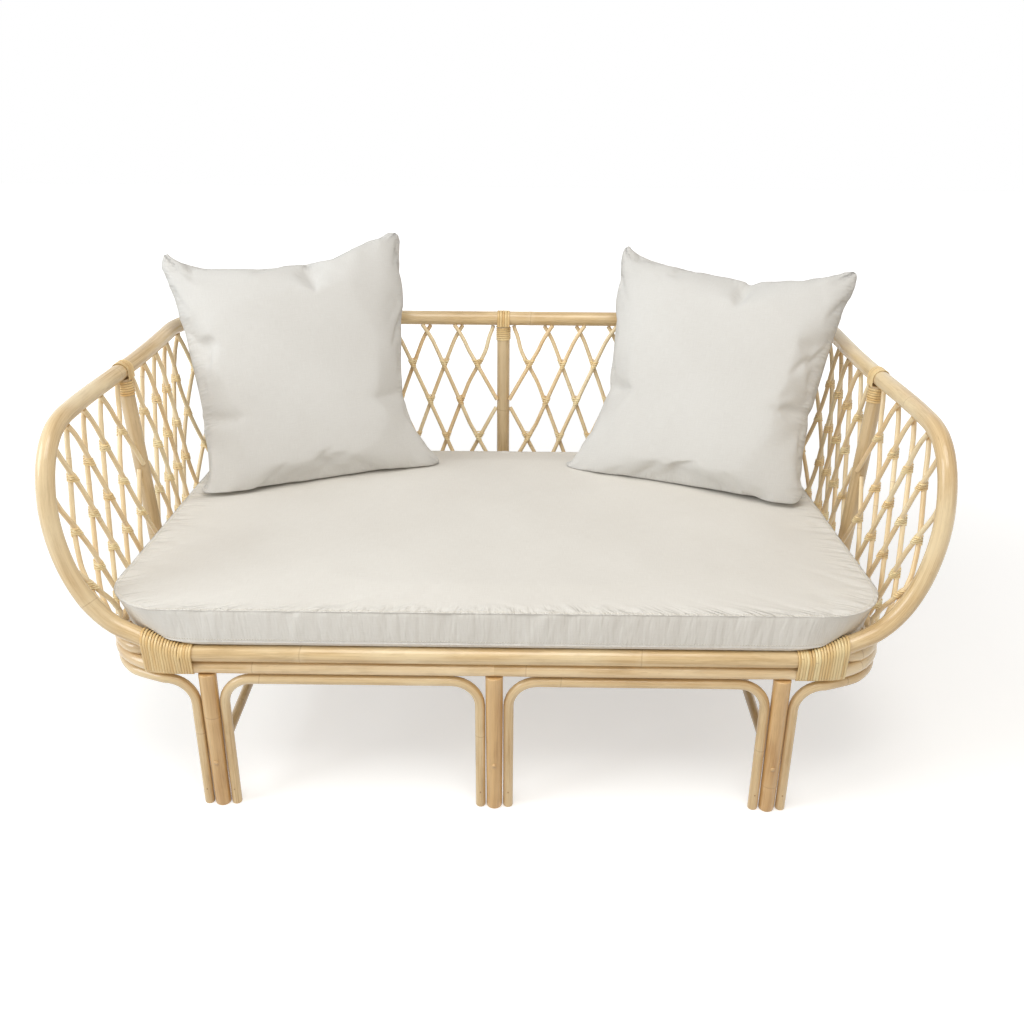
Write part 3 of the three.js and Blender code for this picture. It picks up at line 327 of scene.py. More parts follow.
# the layout, in millimetres from the middle of the front rail's centre line
plan = {
    "railRadius": 15.5, "frontRailRadius": 15, "upperRingRadius": 11, "lowerRingRadius": 11.5,
    "legTopRadius": 15.5, "legFootRadius": 14.2, "uprightRadius": 14.5, "thinRadius": 9, "slatRadius": 8,
    "stickRadius": 4.25,
    "frontRailHeight": 318, "railHeight": 689, "stretcherHeight": 97,
    "railDepth": 812, "railHalfWidth": 712, "railCornerRadius": 120, "armFlare": 22, "armFrontY": 185,
    "armLeanOut": 40, "backLean": 67, "ringFrontCorner": 117, "ringBackCorner": 120, "jointSetIn": 35,
    "ringJogSetOut": 45, "ringJogLength": 70, "gap": 0.3, "legGap": 2.5, "archBendRadius": 50,
    "armRearLength": 283, "slatCount": 9, "bearerCount": 2, "bindingOverlap": 7, "bindingLength": 86,
    "caneThickness": 1.6, "caneWidth": 4.1, "canePitch": 4.75, "longestBend": 0.8, "neckTurns": 6,
}
railLow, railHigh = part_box("front_rail")
frontY = (railLow.y + railHigh.y) / 2 * 1000  # where the front rail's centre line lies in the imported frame
gap = plan["gap"]
ringHalfWidth = plan["railHalfWidth"] - plan["armLeanOut"]
ringDepth = plan["railDepth"] - plan["backLean"]
jointX = ringHalfWidth - plan["ringFrontCorner"] - plan["jointSetIn"]
railCornerX = plan["railHalfWidth"] - plan["railCornerRadius"]
railCornerY = plan["railDepth"] - plan["railCornerRadius"]
ringCornerX = ringHalfWidth - plan["ringBackCorner"]
ringCornerY = ringDepth - plan["ringBackCorner"]
lowerRingHeight = plan["frontRailHeight"] - plan["railRadius"] - gap - plan["lowerRingRadius"]
upperRingHeight = lowerRingHeight + plan["lowerRingRadius"] + gap + plan["upperRingRadius"]
upperRingSetBack = plan["railRadius"] + gap + plan["upperRingRadius"]
upward = Vector((0, 0, 1))


def smooth(share):
    share = min(1.0, max(0.0, share))
    return share * share * (3 - 2 * share)


def mix(a, b, share):
    return a + (b - a) * share


def toFrame(point):
    return Vector((point[0] / 1000, (point[1] + frontY) / 1000, point[2] / 1000))


def mirrored(points):
    return [(-x, y, z) for x, y, z in points][::-1]


def arc(centreX, centreY, radius, fromDegrees, toDegrees, height, count):
    angles = [math.radians(mix(fromDegrees, toDegrees, i / count)) for i in range(1, count)]
    return [(centreX + radius * math.cos(a), centreY + radius * math.sin(a), height) for a in angles]


def railX(y):
    flare = smooth((railCornerY - y) / (railCornerY - plan["armFrontY"]))
    return plan["railHalfWidth"] + plan["armFlare"] * flare * flare


# the loop in front of an arm, from the top down: out from the joint, back from the front rail, up to the arm
loopShares = [
    (1, 0.785, 0.997), (1.003, 0.57, 0.97), (1.004, 0.38, 0.9), (1.004, 0.25, 0.787), (0.995, 0.18, 0.642),
    (0.953, 0.14, 0.491), (0.874, 0.113, 0.345), (0.757, 0.092, 0.221), (0.598, 0.07, 0.129),
    (0.378, 0.043, 0.067), (0.187, 0.01, 0.021),
]
flareSteps, cornerSteps = 10, 12


def halfRail():
    height, front = plan["railHeight"], plan["armFrontY"]
    points = [(0, plan["railDepth"], height), (railCornerX, plan["railDepth"], height)]
    points += arc(railCornerX, railCornerY, plan["railCornerRadius"], 90, 0, height, cornerSteps)
    flare = [mix(railCornerY, front, i / flareSteps) for i in range(flareSteps + 1)]
    points += [(railX(y), y, height) for y in flare]
    points += [(mix(jointX, railX(front), out), front * back, mix(plan["frontRailHeight"], height, up))
               for out, back, up in loopShares]
    return points + [(jointX + start, 0, plan["frontRailHeight"]) for start in (plan["railRadius"], gap)]


def jog(x, setBack):
    return setBack * (1 - smooth((abs(x) - jointX - plan["ringJogSetOut"]) / plan["ringJogLength"]))


def halfRing(height, setBack):
    frontX, front = ringHalfWidth - plan["ringFrontCorner"], plan["ringFrontCorner"]
    points = [(0, ringDepth, height), (ringCornerX, ringDepth, height)]
    points += arc(ringCornerX, ringCornerY, plan["ringBackCorner"], 90, 0, height, cornerSteps)
    points += [(ringHalfWidth, ringCornerY, height), (ringHalfWidth, front, height)]
    points += arc(frontX, front, front, 0, -90, height, cornerSteps)
    jogX = min(jointX + plan["ringJogSetOut"], frontX - gap)
    points += [(frontX, 0, height), (jogX, 0, height), (0, 0, height)]
    return [(x, y + jog(x, setBack) if y < front else y, z) for x, y, z in points]


rightRail = halfRail()
upperHalf = halfRing(upperRingHeight, upperRingSetBack)
lowerHalf = halfRing(lowerRingHeight, 0)
longRun = 150  # a run between two points that is longer than this stays straight


def curveThrough(points, step):
    points = [Vector(p) for p in points]
    last = len(points) - 1
    result = []
    for i, (a, b) in enumerate(zip(points, points[1:])):
        before, after = points[max(0, i - 1)], points[min(last, i + 2)]
        length = (b - a).length
        tangentA = tangentB = (b - a).normalized()
        if length <= longRun and i > 0:
            tangentA = (a - before if (a - before).length > longRun else b - before).normalized()
        if length <= longRun and i + 2 <= last:
            tangentB = (after - b if (after - b).length > longRun else after - a).normalized()
        count = max(1, round(length / step))
        for t in (k / count for k in range(count)):
            h1, h2 = 2 * t ** 3 - 3 * t ** 2 + 1, t ** 3 - 2 * t ** 2 + t
            h3, h4 = -2 * t ** 3 + 3 * t ** 2, t ** 3 - t ** 2
            result.append(a * h1 + tangentA * length * h2 + b * h3 + tangentB * length * h4)
    return result + [points[-1]]


# a chain is a list of (point, radius, outward), which Geometry Nodes sweep into a pole or a cane
def roundedEnds(points, radius, rounding):
    chain = [(p, radius, upward) for p in points]
    for _ in range(2):  # one end, then the other
        end, inner = chain[0][0], chain[1][0]
        inward = (inner - end).normalized() * rounding
        caps = [(end + inward * (1 - math.cos(angle)), radius - rounding * (1 - math.sin(angle)), upward)
                for angle in (0, math.pi / 6, math.pi / 3, math.pi / 2)]
        chain = (caps + chain[1:])[::-1]
    return chain


def straightPole(a, b, radius, endRadius=None, step=14, rounding=1.5):
    a, b = Vector(a), Vector(b)
    length = (b - a).length
    count = max(2, round(length / step))
    chain = roundedEnds([a.lerp(b, i / count) for i in range(count + 1)], radius, rounding)
    widening = 0 if endRadius is None else endRadius - radius
    return [(p, r + widening * (p - a).length / length, out) for p, r, out in chain]


def mirrorChain(chain):
    def flip(vector):
        return Vector((-vector[0], vector[1], vector[2]))
    return [(flip(point), radius, flip(outward)) for point, radius, outward in chain]


poleStart, poleStep = 0.17, 0.61803  # a number between 0 and 1 for each pole, which moves its grain


def chainMesh(name, chains):
    mesh = bpy.data.meshes.new(name)
    items = [item for chain in chains for item in chain]
    poles = [(number * poleStep + poleStart) % 1 for number, chain in enumerate(chains) for _ in chain]
    edges, start = [], 0
    for chain in chains:
        edges += [(start + k, start + k + 1) for k in range(len(chain) - 1)]
        start += len(chain)
    mesh.from_pydata([toFrame(point) for point, _, _ in items], edges, [])
    mesh.attributes.new("radius", "FLOAT", "POINT").data.foreach_set("value", [r / 1000 for _, r, _ in items])
    mesh.attributes.new("pole", "FLOAT", "POINT").data.foreach_set("value", poles)
    lifts = np.array([tuple(outward) for _, _, outward in items], float).ravel()
    mesh.attributes.new("lift", "FLOAT_VECTOR", "POINT").data.foreach_set("vector", lifts)
    return mesh


def named(tree, name, kind="FLOAT"):
    return wired(tree, "GeometryNodeInputNamedAttribute", {"Name": name}, "Attribute", data_type=kind)


def store(tree, geometry, name, value, kind="FLOAT"):
    inputs = {"Geometry": geometry, "Name": name, "Value": value}
    return wired(tree, "GeometryNodeStoreNamedAttribute", inputs, data_type=kind, domain="POINT")


def growthTree(name, sizes):
    inputs = {"Geometry": ("Geometry", None), **sizes, "Finish": ("Material", None)}
    return newGroup(name, "GeometryNodeTree", inputs, {"Geometry": "Geometry"})


def finishTree(tree, geometry, given, result):
    smoothed = wired(tree, "GeometryNodeSetShadeSmooth", {"Geometry": geometry, "Shade Smooth": True})
    real = wired(tree, "GeometryNodeRealizeInstances", {"Geometry": smoothed})
    painted = wired(tree, "GeometryNodeSetMaterial", {"Geometry": real, "Material": given["Finish"]})
    linkAll(tree, {"Geometry": painted}, result)
    return tree


def profileCircle(tree, sides, radius):
    circle = wired(tree, "GeometryNodeCurvePrimitiveCircle", {"Resolution": sides, "Radius": radius})
    return store(tree, circle, "around", wired(tree, "GeometryNodeInputPosition"), "FLOAT_VECTOR")


def sweep(tree, lines, profile, wide, deep, **scale):
    ends = {"Curve": lines, "Profile Curve": profile, **scale, "Fill Caps": True}
    swept = wired(tree, "GeometryNodeCurveToMesh", ends)
    around = split(tree, named(tree, "around", "FLOAT_VECTOR"))
    grain = joined(tree, around[0] * wide, around[1] * deep, named(tree, "along"))
    return store(tree, swept, "grain", grain, "FLOAT_VECTOR")


swellReach = 0.013  # a pole swells within this distance in metres of a growth ring


def makePoleTree():
    tree, given, result = growthTree("sweptPole", {"Sides": ("Int", 20), "Growth Spacing": ("Float", 0.3),
                                                   "Growth Swell": ("Float", 0.03)})
    lines = wired(tree, "GeometryNodeMeshToCurve", {"Mesh": given["Geometry"]})
    length = wired(tree, "GeometryNodeSplineParameter", output="Length")
    lines = store(tree, lines, "along", length)
    distance = ringDistance(length, given["Growth Spacing"], named(tree, "pole"))
    swell = distance.between(swellReach, 0.0, soft=True) * given["Growth Swell"]
    lines = store(tree, lines, "girth", named(tree, "radius") * (swell + 1.0))
    girth = named(tree, "girth")
    swept = sweep(tree, lines, profileCircle(tree, given["Sides"], 1.0), girth, girth, Scale=girth)
    return finishTree(tree, swept, given, result)


def makeCaneTree():
    tree, given, result = growthTree("woundCane", {"Width": ("Float", 0.004), "Thickness": ("Float", 0.0016),
                                                   "Sides": ("Int", 8)})
    width, thickness = given["Width"], given["Thickness"]
    lines = wired(tree, "GeometryNodeMeshToCurve", {"Mesh": given["Geometry"]})
    lift = named(tree, "lift", "FLOAT_VECTOR")
    lines = wired(tree, "GeometryNodeSetCurveNormal", {"Curve": lines, "Normal": lift}, mode="FREE")
    lines = store(tree, lines, "along", wired(tree, "GeometryNodeSplineParameter", output="Length"))
    profile = profileCircle(tree, given["Sides"], 0.5)
    size = joined(tree, thickness, width, 1.0)
    profile = wired(tree, "GeometryNodeTransform", {"Geometry": profile, "Scale": size})
    return finishTree(tree, sweep(tree, lines, profile, thickness, width), given, result)


def rodsOn(tree, points, heading, sides, radius, depth):
    rod = wired(tree, "GeometryNodeMeshCylinder", {"Vertices": sides, "Radius": radius, "Depth": depth})
    turn = wired(tree, "FunctionNodeAlignRotationToVector", {"Vector": heading}, axis="Z")
    return wired(tree, "GeometryNodeInstanceOnPoints", {"Points": points, "Instance": rod, "Rotation": turn})


def makeFixingTree():
    tree, given, result = growthTree("fixingHeads", {"Radius": ("Float", 0.004), "Depth": ("Float", 0.0028),
                                                     "Sides": ("Int", 16)})
    lift = named(tree, "lift", "FLOAT_VECTOR")
    heads = rodsOn(tree, given["Geometry"], lift, given["Sides"], given["Radius"], given["Depth"])
    real = wired(tree, "GeometryNodeRealizeInstances", {"Geometry": heads})
    place = wired(tree, "GeometryNodeInputPosition")
    return finishTree(tree, store(tree, real, "grain", place, "FLOAT_VECTOR"), given, result)


def makeStitchTree():
    tree, given, result = growthTree("stitchLine", {"Spacing": ("Float", 0.0045), "Length": ("Float", 0.003),
                                                    "Radius": ("Float", 0.0005)})
    lines = wired(tree, "GeometryNodeMeshToCurve", {"Mesh": given["Geometry"]})
    inputs = {"Curve": lines, "Length": given["Spacing"]}
    spots = addNode(tree, "GeometryNodeCurveToPoints", inputs, mode="LENGTH")
    points, tangent = (Wire(tree, spots.outputs[label]) for label in ("Points", "Tangent"))
    return finishTree(tree, rodsOn(tree, points, tangent, 6, given["Radius"], given["Length"]), given, result)


poleTree = makePoleTree()
caneTree = makeCaneTree()
fixingTree = makeFixingTree()
stitchTree = makeStitchTree()


def plainPiece(carrier, name):
    bpy.context.view_layer.update()
    evaluated = carrier.evaluated_get(bpy.context.evaluated_depsgraph_get())
    mesh = bpy.data.meshes.new_from_object(evaluated)
    mesh.name = name
    bpy.data.objects.remove(carrier)
    return addObject(name, mesh)


def growFrom(mesh, tree, name, settings):
    carrier = addObject(name + "Lines", mesh)
    modifier = carrier.modifiers.new("grow", "NODES")
    modifier.node_group = tree
    for item in tree.interface.items_tree:
        if item.in_out == "INPUT" and item.name in settings:
            modifier[item.identifier] = settings[item.name]
    piece = plainPiece(carrier, name)
    for extra in ("radius", "lift", "along", "around", "girth"):
        if extra in piece.data.attributes:
            piece.data.attributes.remove(piece.data.attributes[extra])
    return piece


def settle(piece, body, nodes=()):
    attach(piece, body)
    if nodes:
        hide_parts(*nodes)
    print(piece.name, len(piece.data.polygons), "faces")


def nodesWith(text, without=None):
    return sorted(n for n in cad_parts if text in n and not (without and without in n))


def addPoles(name, chains, finish, nodes, swell=0.015, sides=20):
    settings = {"Sides": sides, "Growth Spacing": rattan[finish]["growth"], "Growth Swell": swell,
                "Finish": materials[finish]}
    settle(growFrom(chainMesh(name, chains), poleTree, name, settings), "frame", nodes)


def addCanes(name, chains, finish, nodes, width, thickness, sides=8):
    settings = {"Sides": sides, "Width": width / 1000, "Thickness": thickness / 1000,
                "Finish": materials[finish]}
    settle(growFrom(chainMesh(name, chains), caneTree, name, settings), "frame", nodes)


# the rails, and two seat rings of two bent poles each
ringStep, railStep, railSides = 12, 9, 24


def addFramePoles():
    railPath = curveThrough(mirrored(rightRail[1:]) + rightRail[1:], railStep)
    rail = roundedEnds(railPath, plan["railRadius"], 0.5)
    addPoles("armAndBackRail", [rail], "rail", ["arm_and_back_rail"], sides=railSides)
    ends = [(x, 0, plan["frontRailHeight"]) for x in (-jointX, jointX)]
    rail = straightPole(*ends, plan["frontRailRadius"], step=railStep)
    addPoles("frontRail", [rail], "rail", ["front_rail"], sides=railSides)
    # the rings take the ring finish, whose shades are partly lightened as painted light against the rail's
    # shade
    for name, half, radius in (("Upper", upperHalf, plan["upperRingRadius"]),
                               ("Lower", lowerHalf, plan["lowerRingRadius"])):
        paths = (curveThrough(path, ringStep) for path in (half, mirrored(half)))
        chains = [[(point, radius, upward) for point in path] for path in paths]
        addPoles("seatRing" + name, chains, "ring", nodesWith("seat_ring_" + name.lower()))


# the arches run just under the lower ring and the cane wound round it
boundRadius = (plan["lowerRingRadius"] + gap * 2) / math.cos(plan["longestBend"] / 2) + plan["caneThickness"]
archRunHeight = lowerRingHeight - boundRadius - gap - plan["thinRadius"]
bindingInnerX = jointX - plan["bindingOverlap"]
legSpacing = bindingInnerX - plan["legGap"] - plan["legTopRadius"]
legTop = lowerRingHeight - plan["lowerRingRadius"] - gap
legAtStretcher = mix(plan["legFootRadius"], plan["legTopRadius"], plan["stretcherHeight"] / legTop)
archOffset = plan["legTopRadius"] + gap + plan["thinRadius"]
legPlaces = (-legSpacing, 0, legSpacing)
arch = {"bendSteps": 8, "turnSteps": 10, "turnSkip": 3, "step": 8, "rounding": 2}


# up from the floor, then bent over towards +1 or -1 along the sofa
def riseAndBend(x, y, toward):
    radius = plan["archBendRadius"]
    points = [(x, y, 0)]
    for i in range(arch["bendSteps"] + 1):
        angle = i / arch["bendSteps"] * math.pi / 2
        along = toward * radius * (1 - math.cos(angle))
        points.append((x + along, y, archRunHeight - radius * (1 - math.sin(angle))))
    return points


def archPole(points):
    return roundedEnds(curveThrough(points, arch["step"]), plan["thinRadius"], arch["rounding"])


# from a front corner leg round the side, under the rings, to a rear corner leg
def sideArch(side):
    corner, height, steps, skip = plan["ringFrontCorner"], archRunHeight, arch["turnSteps"], arch["turnSkip"]
    path = riseAndBend(legSpacing + archOffset, 0, 1)
    path += arc(ringHalfWidth - corner, corner, corner, -90, 0, height, steps)[skip:]
    path += [(ringHalfWidth, corner, height), (ringHalfWidth, ringCornerY, height)]
    path += arc(ringCornerX, ringCornerY, plan["ringBackCorner"], 0, 90, height, steps)[:-skip]
    path += riseAndBend(legSpacing + archOffset, ringDepth, 1)[::-1]
    return archPole([(side * x, y, z) for x, y, z in path])


def addLegsAndArches():
    legs = [straightPole((x, y, 0), (x, y, legTop), plan["legFootRadius"], plan["legTopRadius"], rounding=2.5)
            for y in (0, ringDepth) for x in legPlaces]
    addPoles("legs", legs, "post", nodesWith("_leg"), swell=0.01)
    arches = []
    for y in (0, ringDepth):
        for side in (-1, 1):
            inner = riseAndBend(side * archOffset, y, side)
            outer = riseAndBend(side * (legSpacing - archOffset), y, -side)
            arches.append(archPole(inner + outer[::-1]))
    addPoles("arches", arches, "thin", nodesWith("_arch", "side"))
    addPoles("sideArches", [sideArch(-1), sideArch(1)], "thin", nodesWith("side_arch"))
    start, height = legAtStretcher + gap, plan["stretcherHeight"]
    stretchers = [straightPole((x, start, height), (x, ringDepth - start, height), plan["thinRadius"])
                  for x in legPlaces]
    addPoles("stretchers", stretchers, "thin", nodesWith("stretcher"))


deckStep, deckSides = 20, 14


# the deck under the cushion: slats from front to back on bearers from side to side
def addDeck():
    slatHeight = plan["frontRailHeight"] + plan["frontRailRadius"] - plan["slatRadius"] - gap
    bearerHeight = slatHeight - plan["slatRadius"] - gap - plan["thinRadius"]
    start = upperRingSetBack + plan["upperRingRadius"] + gap
    end = ringDepth - plan["upperRingRadius"] - gap
    poles = []
    for i in range(plan["slatCount"]):
        x = mix(-legSpacing, legSpacing, i / (plan["slatCount"] - 1))
        ends = [(x, y, slatHeight) for y in (start, end)]
        poles.append(straightPole(*ends, plan["slatRadius"], step=deckStep))
    reach = ringHalfWidth - plan["upperRingRadius"] - gap
    for i in range(plan["bearerCount"]):
        y = ringDepth * (i + 1) / (plan["bearerCount"] + 1)
        ends = [(x, y, bearerHeight) for x in (-reach, reach)]
        poles.append(straightPole(*ends, plan["thinRadius"], step=deckStep))
    nodes = nodesWith("seat_slat") + nodesWith("seat_bearer")
    addPoles("seatDeck", poles, "thin", nodes, sides=deckSides)


addFramePoles()
addLegsAndArches()
addDeck()
print("poles of the frame made")

# two crossing layers of thin sticks between the upper ring and the rail
# runs are measured along the rail from the middle of the back, rows of crossings down from the rail
lattice = {
    "pitch": 73, "first": 28, "topDrop": 22, "bottomRise": 12, "footDrop": 14, "rows": 5, "samples": 120,
    "pullReach": 80, "pullShare": 0.35, "pullFade": 0.8, "lappedGap": 0.7, "loopBlend": 90, "shortest": 45,
    "step": 9, "rounding": 0.8, "touch": 1.2, "girth": 1.07, "postClear": (2.7, 0), "flareRows": 0.4,
    "flareShare": 0.667, "flarePower": 1.71, "besideNeck": 23, "neckNear": 12, "neckRows": 0.6,
    "knotMargin": 12,
}
stickRadius = plan["stickRadius"]
armUprightY = railCornerY - plan["armRearLength"]
topRow = plan["railHeight"] - lattice["topDrop"]
footHeight = plan["frontRailHeight"] - lattice["footDrop"]
rowHeight = (topRow - plan["frontRailHeight"] - lattice["bottomRise"]) / (lattice["rows"] - 1)
layerOffset = stickRadius + lattice["lappedGap"] / 2
footSetOut = plan["upperRingRadius"] + gap * 2 + layerOffset + stickRadius
backRun = railCornerX
cornerRun = plan["railCornerRadius"] * math.pi / 2
uprightRun = backRun + cornerRun + railCornerY - armUprightY
loopStations = [p for p in rightRail if p[1] <= plan["armFrontY"]]


def loopAt(height):
    for a, b in zip(loopStations, loopStations[1:]):
        if height >= b[2]:
            share = min(1, max(0, (a[2] - height) / (a[2] - b[2])))
            return tuple(mix(a[k], b[k], share) for k in range(3))
    return loopStations[-1]


def ringOuterX(y):
    corner = plan["ringFrontCorner"]
    if y > corner:
        return ringHalfWidth
    return ringHalfWidth - corner + math.sqrt(max(0, corner * corner - (corner - y) ** 2))


# where a run lies on the rail and on the ring, and which way is outward there
def latticePlan(run):
    if run <= backRun:
        return (run, plan["railDepth"]), (run / backRun * ringCornerX, ringDepth), (0, 1)
    if run <= backRun + cornerRun:
        angle = (run - backRun) / cornerRun * math.pi / 2
        out = (math.sin(angle), math.cos(angle))
        radius, ringRadius = plan["railCornerRadius"], plan["ringBackCorner"]
        top = (railCornerX + radius * out[0], railCornerY + radius * out[1])
        return top, (ringCornerX + ringRadius * out[0], ringCornerY + ringRadius * out[1]), out
    y = railCornerY - (run - backRun - cornerRun)
    behind = max(0, (y - armUprightY) / (railCornerY - armUprightY))
    footY = mix(armUprightY, ringCornerY, behind) if y > armUprightY else y
    return (railX(max(y, plan["armFrontY"])), y), (ringOuterX(footY), footY), (1, 0)


def nearerUpright(run):
    return 0 if run < uprightRun / 2 else uprightRun


def latticePoint(wantedRun, height, offset):
    aside = wantedRun - nearerUpright(wantedRun)
    pull = lattice["pullShare"] * max(0, lattice["pullReach"] - abs(aside))
    pull *= smooth((topRow - height) / (rowHeight * lattice["pullFade"]))
    top, foot, out = latticePlan(wantedRun - math.copysign(min(pull, abs(aside)), aside))
    share = (height - upperRingHeight) / (plan["railHeight"] - upperRingHeight)
    setOut = footSetOut * (1 - share) + offset
    x, y = (mix(foot[k], top[k], share) + out[k] * setOut for k in range(2))
    if y < armUprightY:
        loop = loopAt(height)
        x = mix(x, loop[0] + offset, smooth(1 - (y - loop[1] - plan["railRadius"]) / lattice["loopBlend"]))
    return Vector((x, y, height))


def uprightAt(run):
    top, foot, out = latticePlan(run)
    setOut = max(plan["upperRingRadius"], plan["lowerRingRadius"]) + gap * 2 + plan["uprightRadius"]
    return (Vector((foot[0] + out[0] * setOut, foot[1] + out[1] * setOut, lowerRingHeight)),
            Vector((top[0], top[1], plan["railHeight"] - plan["railRadius"] - gap)))


def segmentsOf(points):
    points = np.array([tuple(p) for p in points], float)
    return points[:-1], points[1:] - points[:-1]


def nearestOn(segments, place):
    starts, spans = segments
    share = np.clip(((place - starts) * spans).sum(1) / (spans * spans).sum(1), 0, 1)
    points = starts + spans * share[:, None]
    return points[np.argmin(((points - place) ** 2).sum(1))]


# the poles at which a stick ends, each with the distance that a stick's centre line keeps from its own
uprightLines = [uprightAt(0), uprightAt(uprightRun)]
neckLength = plan["neckTurns"] * plan["canePitch"] + (plan["neckTurns"] - 1) * gap
neckDistance = plan["uprightRadius"] + plan["caneThickness"] + gap * 3 + stickRadius
railSegments = segmentsOf([(-lattice["pitch"], plan["railDepth"], plan["railHeight"])] + rightRail)
obstacles = [(railSegments, plan["railRadius"] - lattice["touch"]),
             (segmentsOf(upperHalf), plan["upperRingRadius"] - lattice["touch"]),
             (segmentsOf(lowerHalf), plan["lowerRingRadius"] - lattice["touch"])]
for (foot, top), clear in zip(uprightLines, lattice["postClear"]):
    neckFoot = top + (foot - top).normalized() * (neckLength + plan["caneWidth"])
    obstacles.append((segmentsOf([foot, top]), plan["uprightRadius"] + clear - lattice["touch"]))
    obstacles.append((segmentsOf([neckFoot, top]), neckDistance))


def isFree(point):
    return all(np.linalg.norm(point - nearestOn(segments, point)) >= least for segments, least in obstacles)


def flared(row):
    return row - lattice["flareShare"] * max(0, lattice["flareRows"] - row) ** lattice["flarePower"]


# the longest stretch of a stick's line that touches no pole
def stickPoints(start, drift, offset, minRun, maxRun):
    lastRow, upright = (topRow - footHeight) / rowHeight, nearerUpright(start)
    best, current = [], []
    for i in range(lattice["samples"] + 1):
        row = mix(-0.5, lastRow, i / lattice["samples"])
        run = start + drift * flared(row)
        nearNeck = lattice["besideNeck"] - abs(run - upright)
        if row < lattice["neckRows"] and 0 < nearNeck < lattice["besideNeck"] - lattice["neckNear"]:
            run += math.copysign(nearNeck, run - upright)
        point = np.array(latticePoint(run, topRow - row * rowHeight, offset))
        behindLoop = point[1] > loopAt(point[2])[1] or run < uprightRun
        if minRun < run < maxRun and point[2] < plan["railHeight"] and behindLoop and isFree(point):
            current.append(point)
            best = current if len(current) > len(best) else best
        else:
            current = []
    return best


def makeSticks():
    rearEnd = uprightRun - lattice["first"]
    frontStart, reach = uprightRun + lattice["first"], uprightRun + armUprightY
    frontEnd = frontStart + round((reach - frontStart) / lattice["pitch"]) * lattice["pitch"]
    sticks = []
    for zone, start, end, minRun, maxRun in (
            ("back", lattice["first"], rearEnd, stickRadius, uprightRun - stickRadius),
            ("arm", frontStart, frontEnd, uprightRun + stickRadius, reach)):
        count = round((end - start) / lattice["pitch"])
        pitch = (end - start) / count
        for number in range(-lattice["rows"], count + lattice["rows"] + 1):
            for lean in (-1, 1):
                drift, offset = lean * pitch / 2, lean * layerOffset
                points = stickPoints(start + number * pitch, drift, offset, minRun, maxRun)
                if len(points) > 1 and np.linalg.norm(points[0] - points[-1]) > lattice["shortest"]:
                    sticks.append({"zone": zone, "number": number, "lean": lean, "drift": drift,
                                   "start": start + number * pitch, "offset": offset, "points": points})
    return sticks


def stickChain(stick):
    points = [Vector(p) for p in stick["points"]]
    kept = points[::max(1, round(lattice["step"] / (points[1] - points[0]).length))]
    if (kept[-1] - points[-1]).length > 1:
        kept = kept[:-1] + [points[-1]]
    return roundedEnds(kept, stickRadius * lattice["girth"], lattice["rounding"])


def centreAt(stick, height):
    run = stick["start"] + stick["drift"] * flared((topRow - height) / rowHeight)
    return latticePoint(run, height, stick["offset"])


# a knot is one cane wound round two sticks from just under their crossing upwards
knot = {"turns": 4, "pitch": 4.2, "width": 3.0, "thickness": 2.3, "directions": 10, "below": 2.5, "bite": 0.2,
        "tilt": 0.16, "tiltStep": 2.4, "angleStep": 1.3}


def knotChain(inner, outer, height, number):
    outX, outY = latticePlan(inner["start"] + inner["drift"] * (topRow - height) / rowHeight)[2]
    normal, side = Vector((outX, outY, 0)), Vector((outY, -outX, 0))
    reach = stickRadius * lattice["girth"] + knot["thickness"] / 2 - knot["bite"]
    tilt = knot["tilt"] * math.sin(number * knot["tiltStep"])
    chain = []
    for i in range(knot["turns"] * knot["directions"] + 1):
        turn = i / knot["directions"]
        angle = turn * 2 * math.pi + number * knot["angleStep"]
        out = normal * math.sin(angle) + side * math.cos(angle)
        z = height - knot["below"] + turn * knot["pitch"]
        a, b = centreAt(inner, z), centreAt(outer, z)
        near = a if a.dot(out) > b.dot(out) else b
        lift = tilt * (near - (a + b) / 2 + out * reach).dot(side)
        chain.append((near + out * reach + upward * lift, 1, out))
    return chain


def crossings(sticks):
    margin = lattice["knotMargin"]
    for inner in (s for s in sticks if s["lean"] < 0):
        for outer in (s for s in sticks if s["lean"] > 0 and s["zone"] == inner["zone"]):
            row = inner["number"] - outer["number"]
            height = topRow - row * rowHeight
            spans = [(s["points"][-1][2] + margin, s["points"][0][2] - margin) for s in (inner, outer)]
            if 1 <= row < lattice["rows"] and all(low < height < high for low, high in spans):
                yield inner, outer, height


def bothSides(chains):
    return chains + [mirrorChain(chain) for chain in chains]


def addLattice():
    sticks = makeSticks()
    for name, zone, nodes in (("latticeBack", "back", nodesWith("_lattice", "arm_front")),
                              ("latticeArms", "arm", nodesWith("arm_front_lattice"))):
        chains = bothSides([stickChain(s) for s in sticks if s["zone"] == zone])
        addPoles(name, chains, "stick", nodes, swell=0.05, sides=9)
    knots = [knotChain(*crossing, number) for number, crossing in enumerate(crossings(sticks))]
    addCanes("latticeKnots", bothSides(knots), "knot", [], knot["width"], knot["thickness"], sides=6)


def addUprights():
    back, arm = (straightPole(foot, top, plan["uprightRadius"], step=10) for foot, top in uprightLines)
    addPoles("uprights", [back, arm, mirrorChain(arm)], "upright", nodesWith("_upright"))


addUprights()
addLattice()
print("lattice made")

# cane wound round the joints of the front rail and the tops of the uprights, and strapped over the rail
winding = {
    "width": 4.7, "thickness": 1.5, "steps": 40, "neckWidth": 4.2, "neckThickness": 2.1, "neckSteps": 16,
    "strands": 5, "strandWidth": 5.4, "strandGap": 0.15, "strapSpan": 28, "strapSteps": 24,
    "strapLegSteps": 4,
}
straightRail = [(jointX + gap * 2, 0, plan["frontRailHeight"]), (0, 0, plan["frontRailHeight"])]
upperFront = [p for p in upperHalf if p[1] < ringDepth / 2]
lowerFront = [p for p in lowerHalf if p[1] < ringDepth / 2]


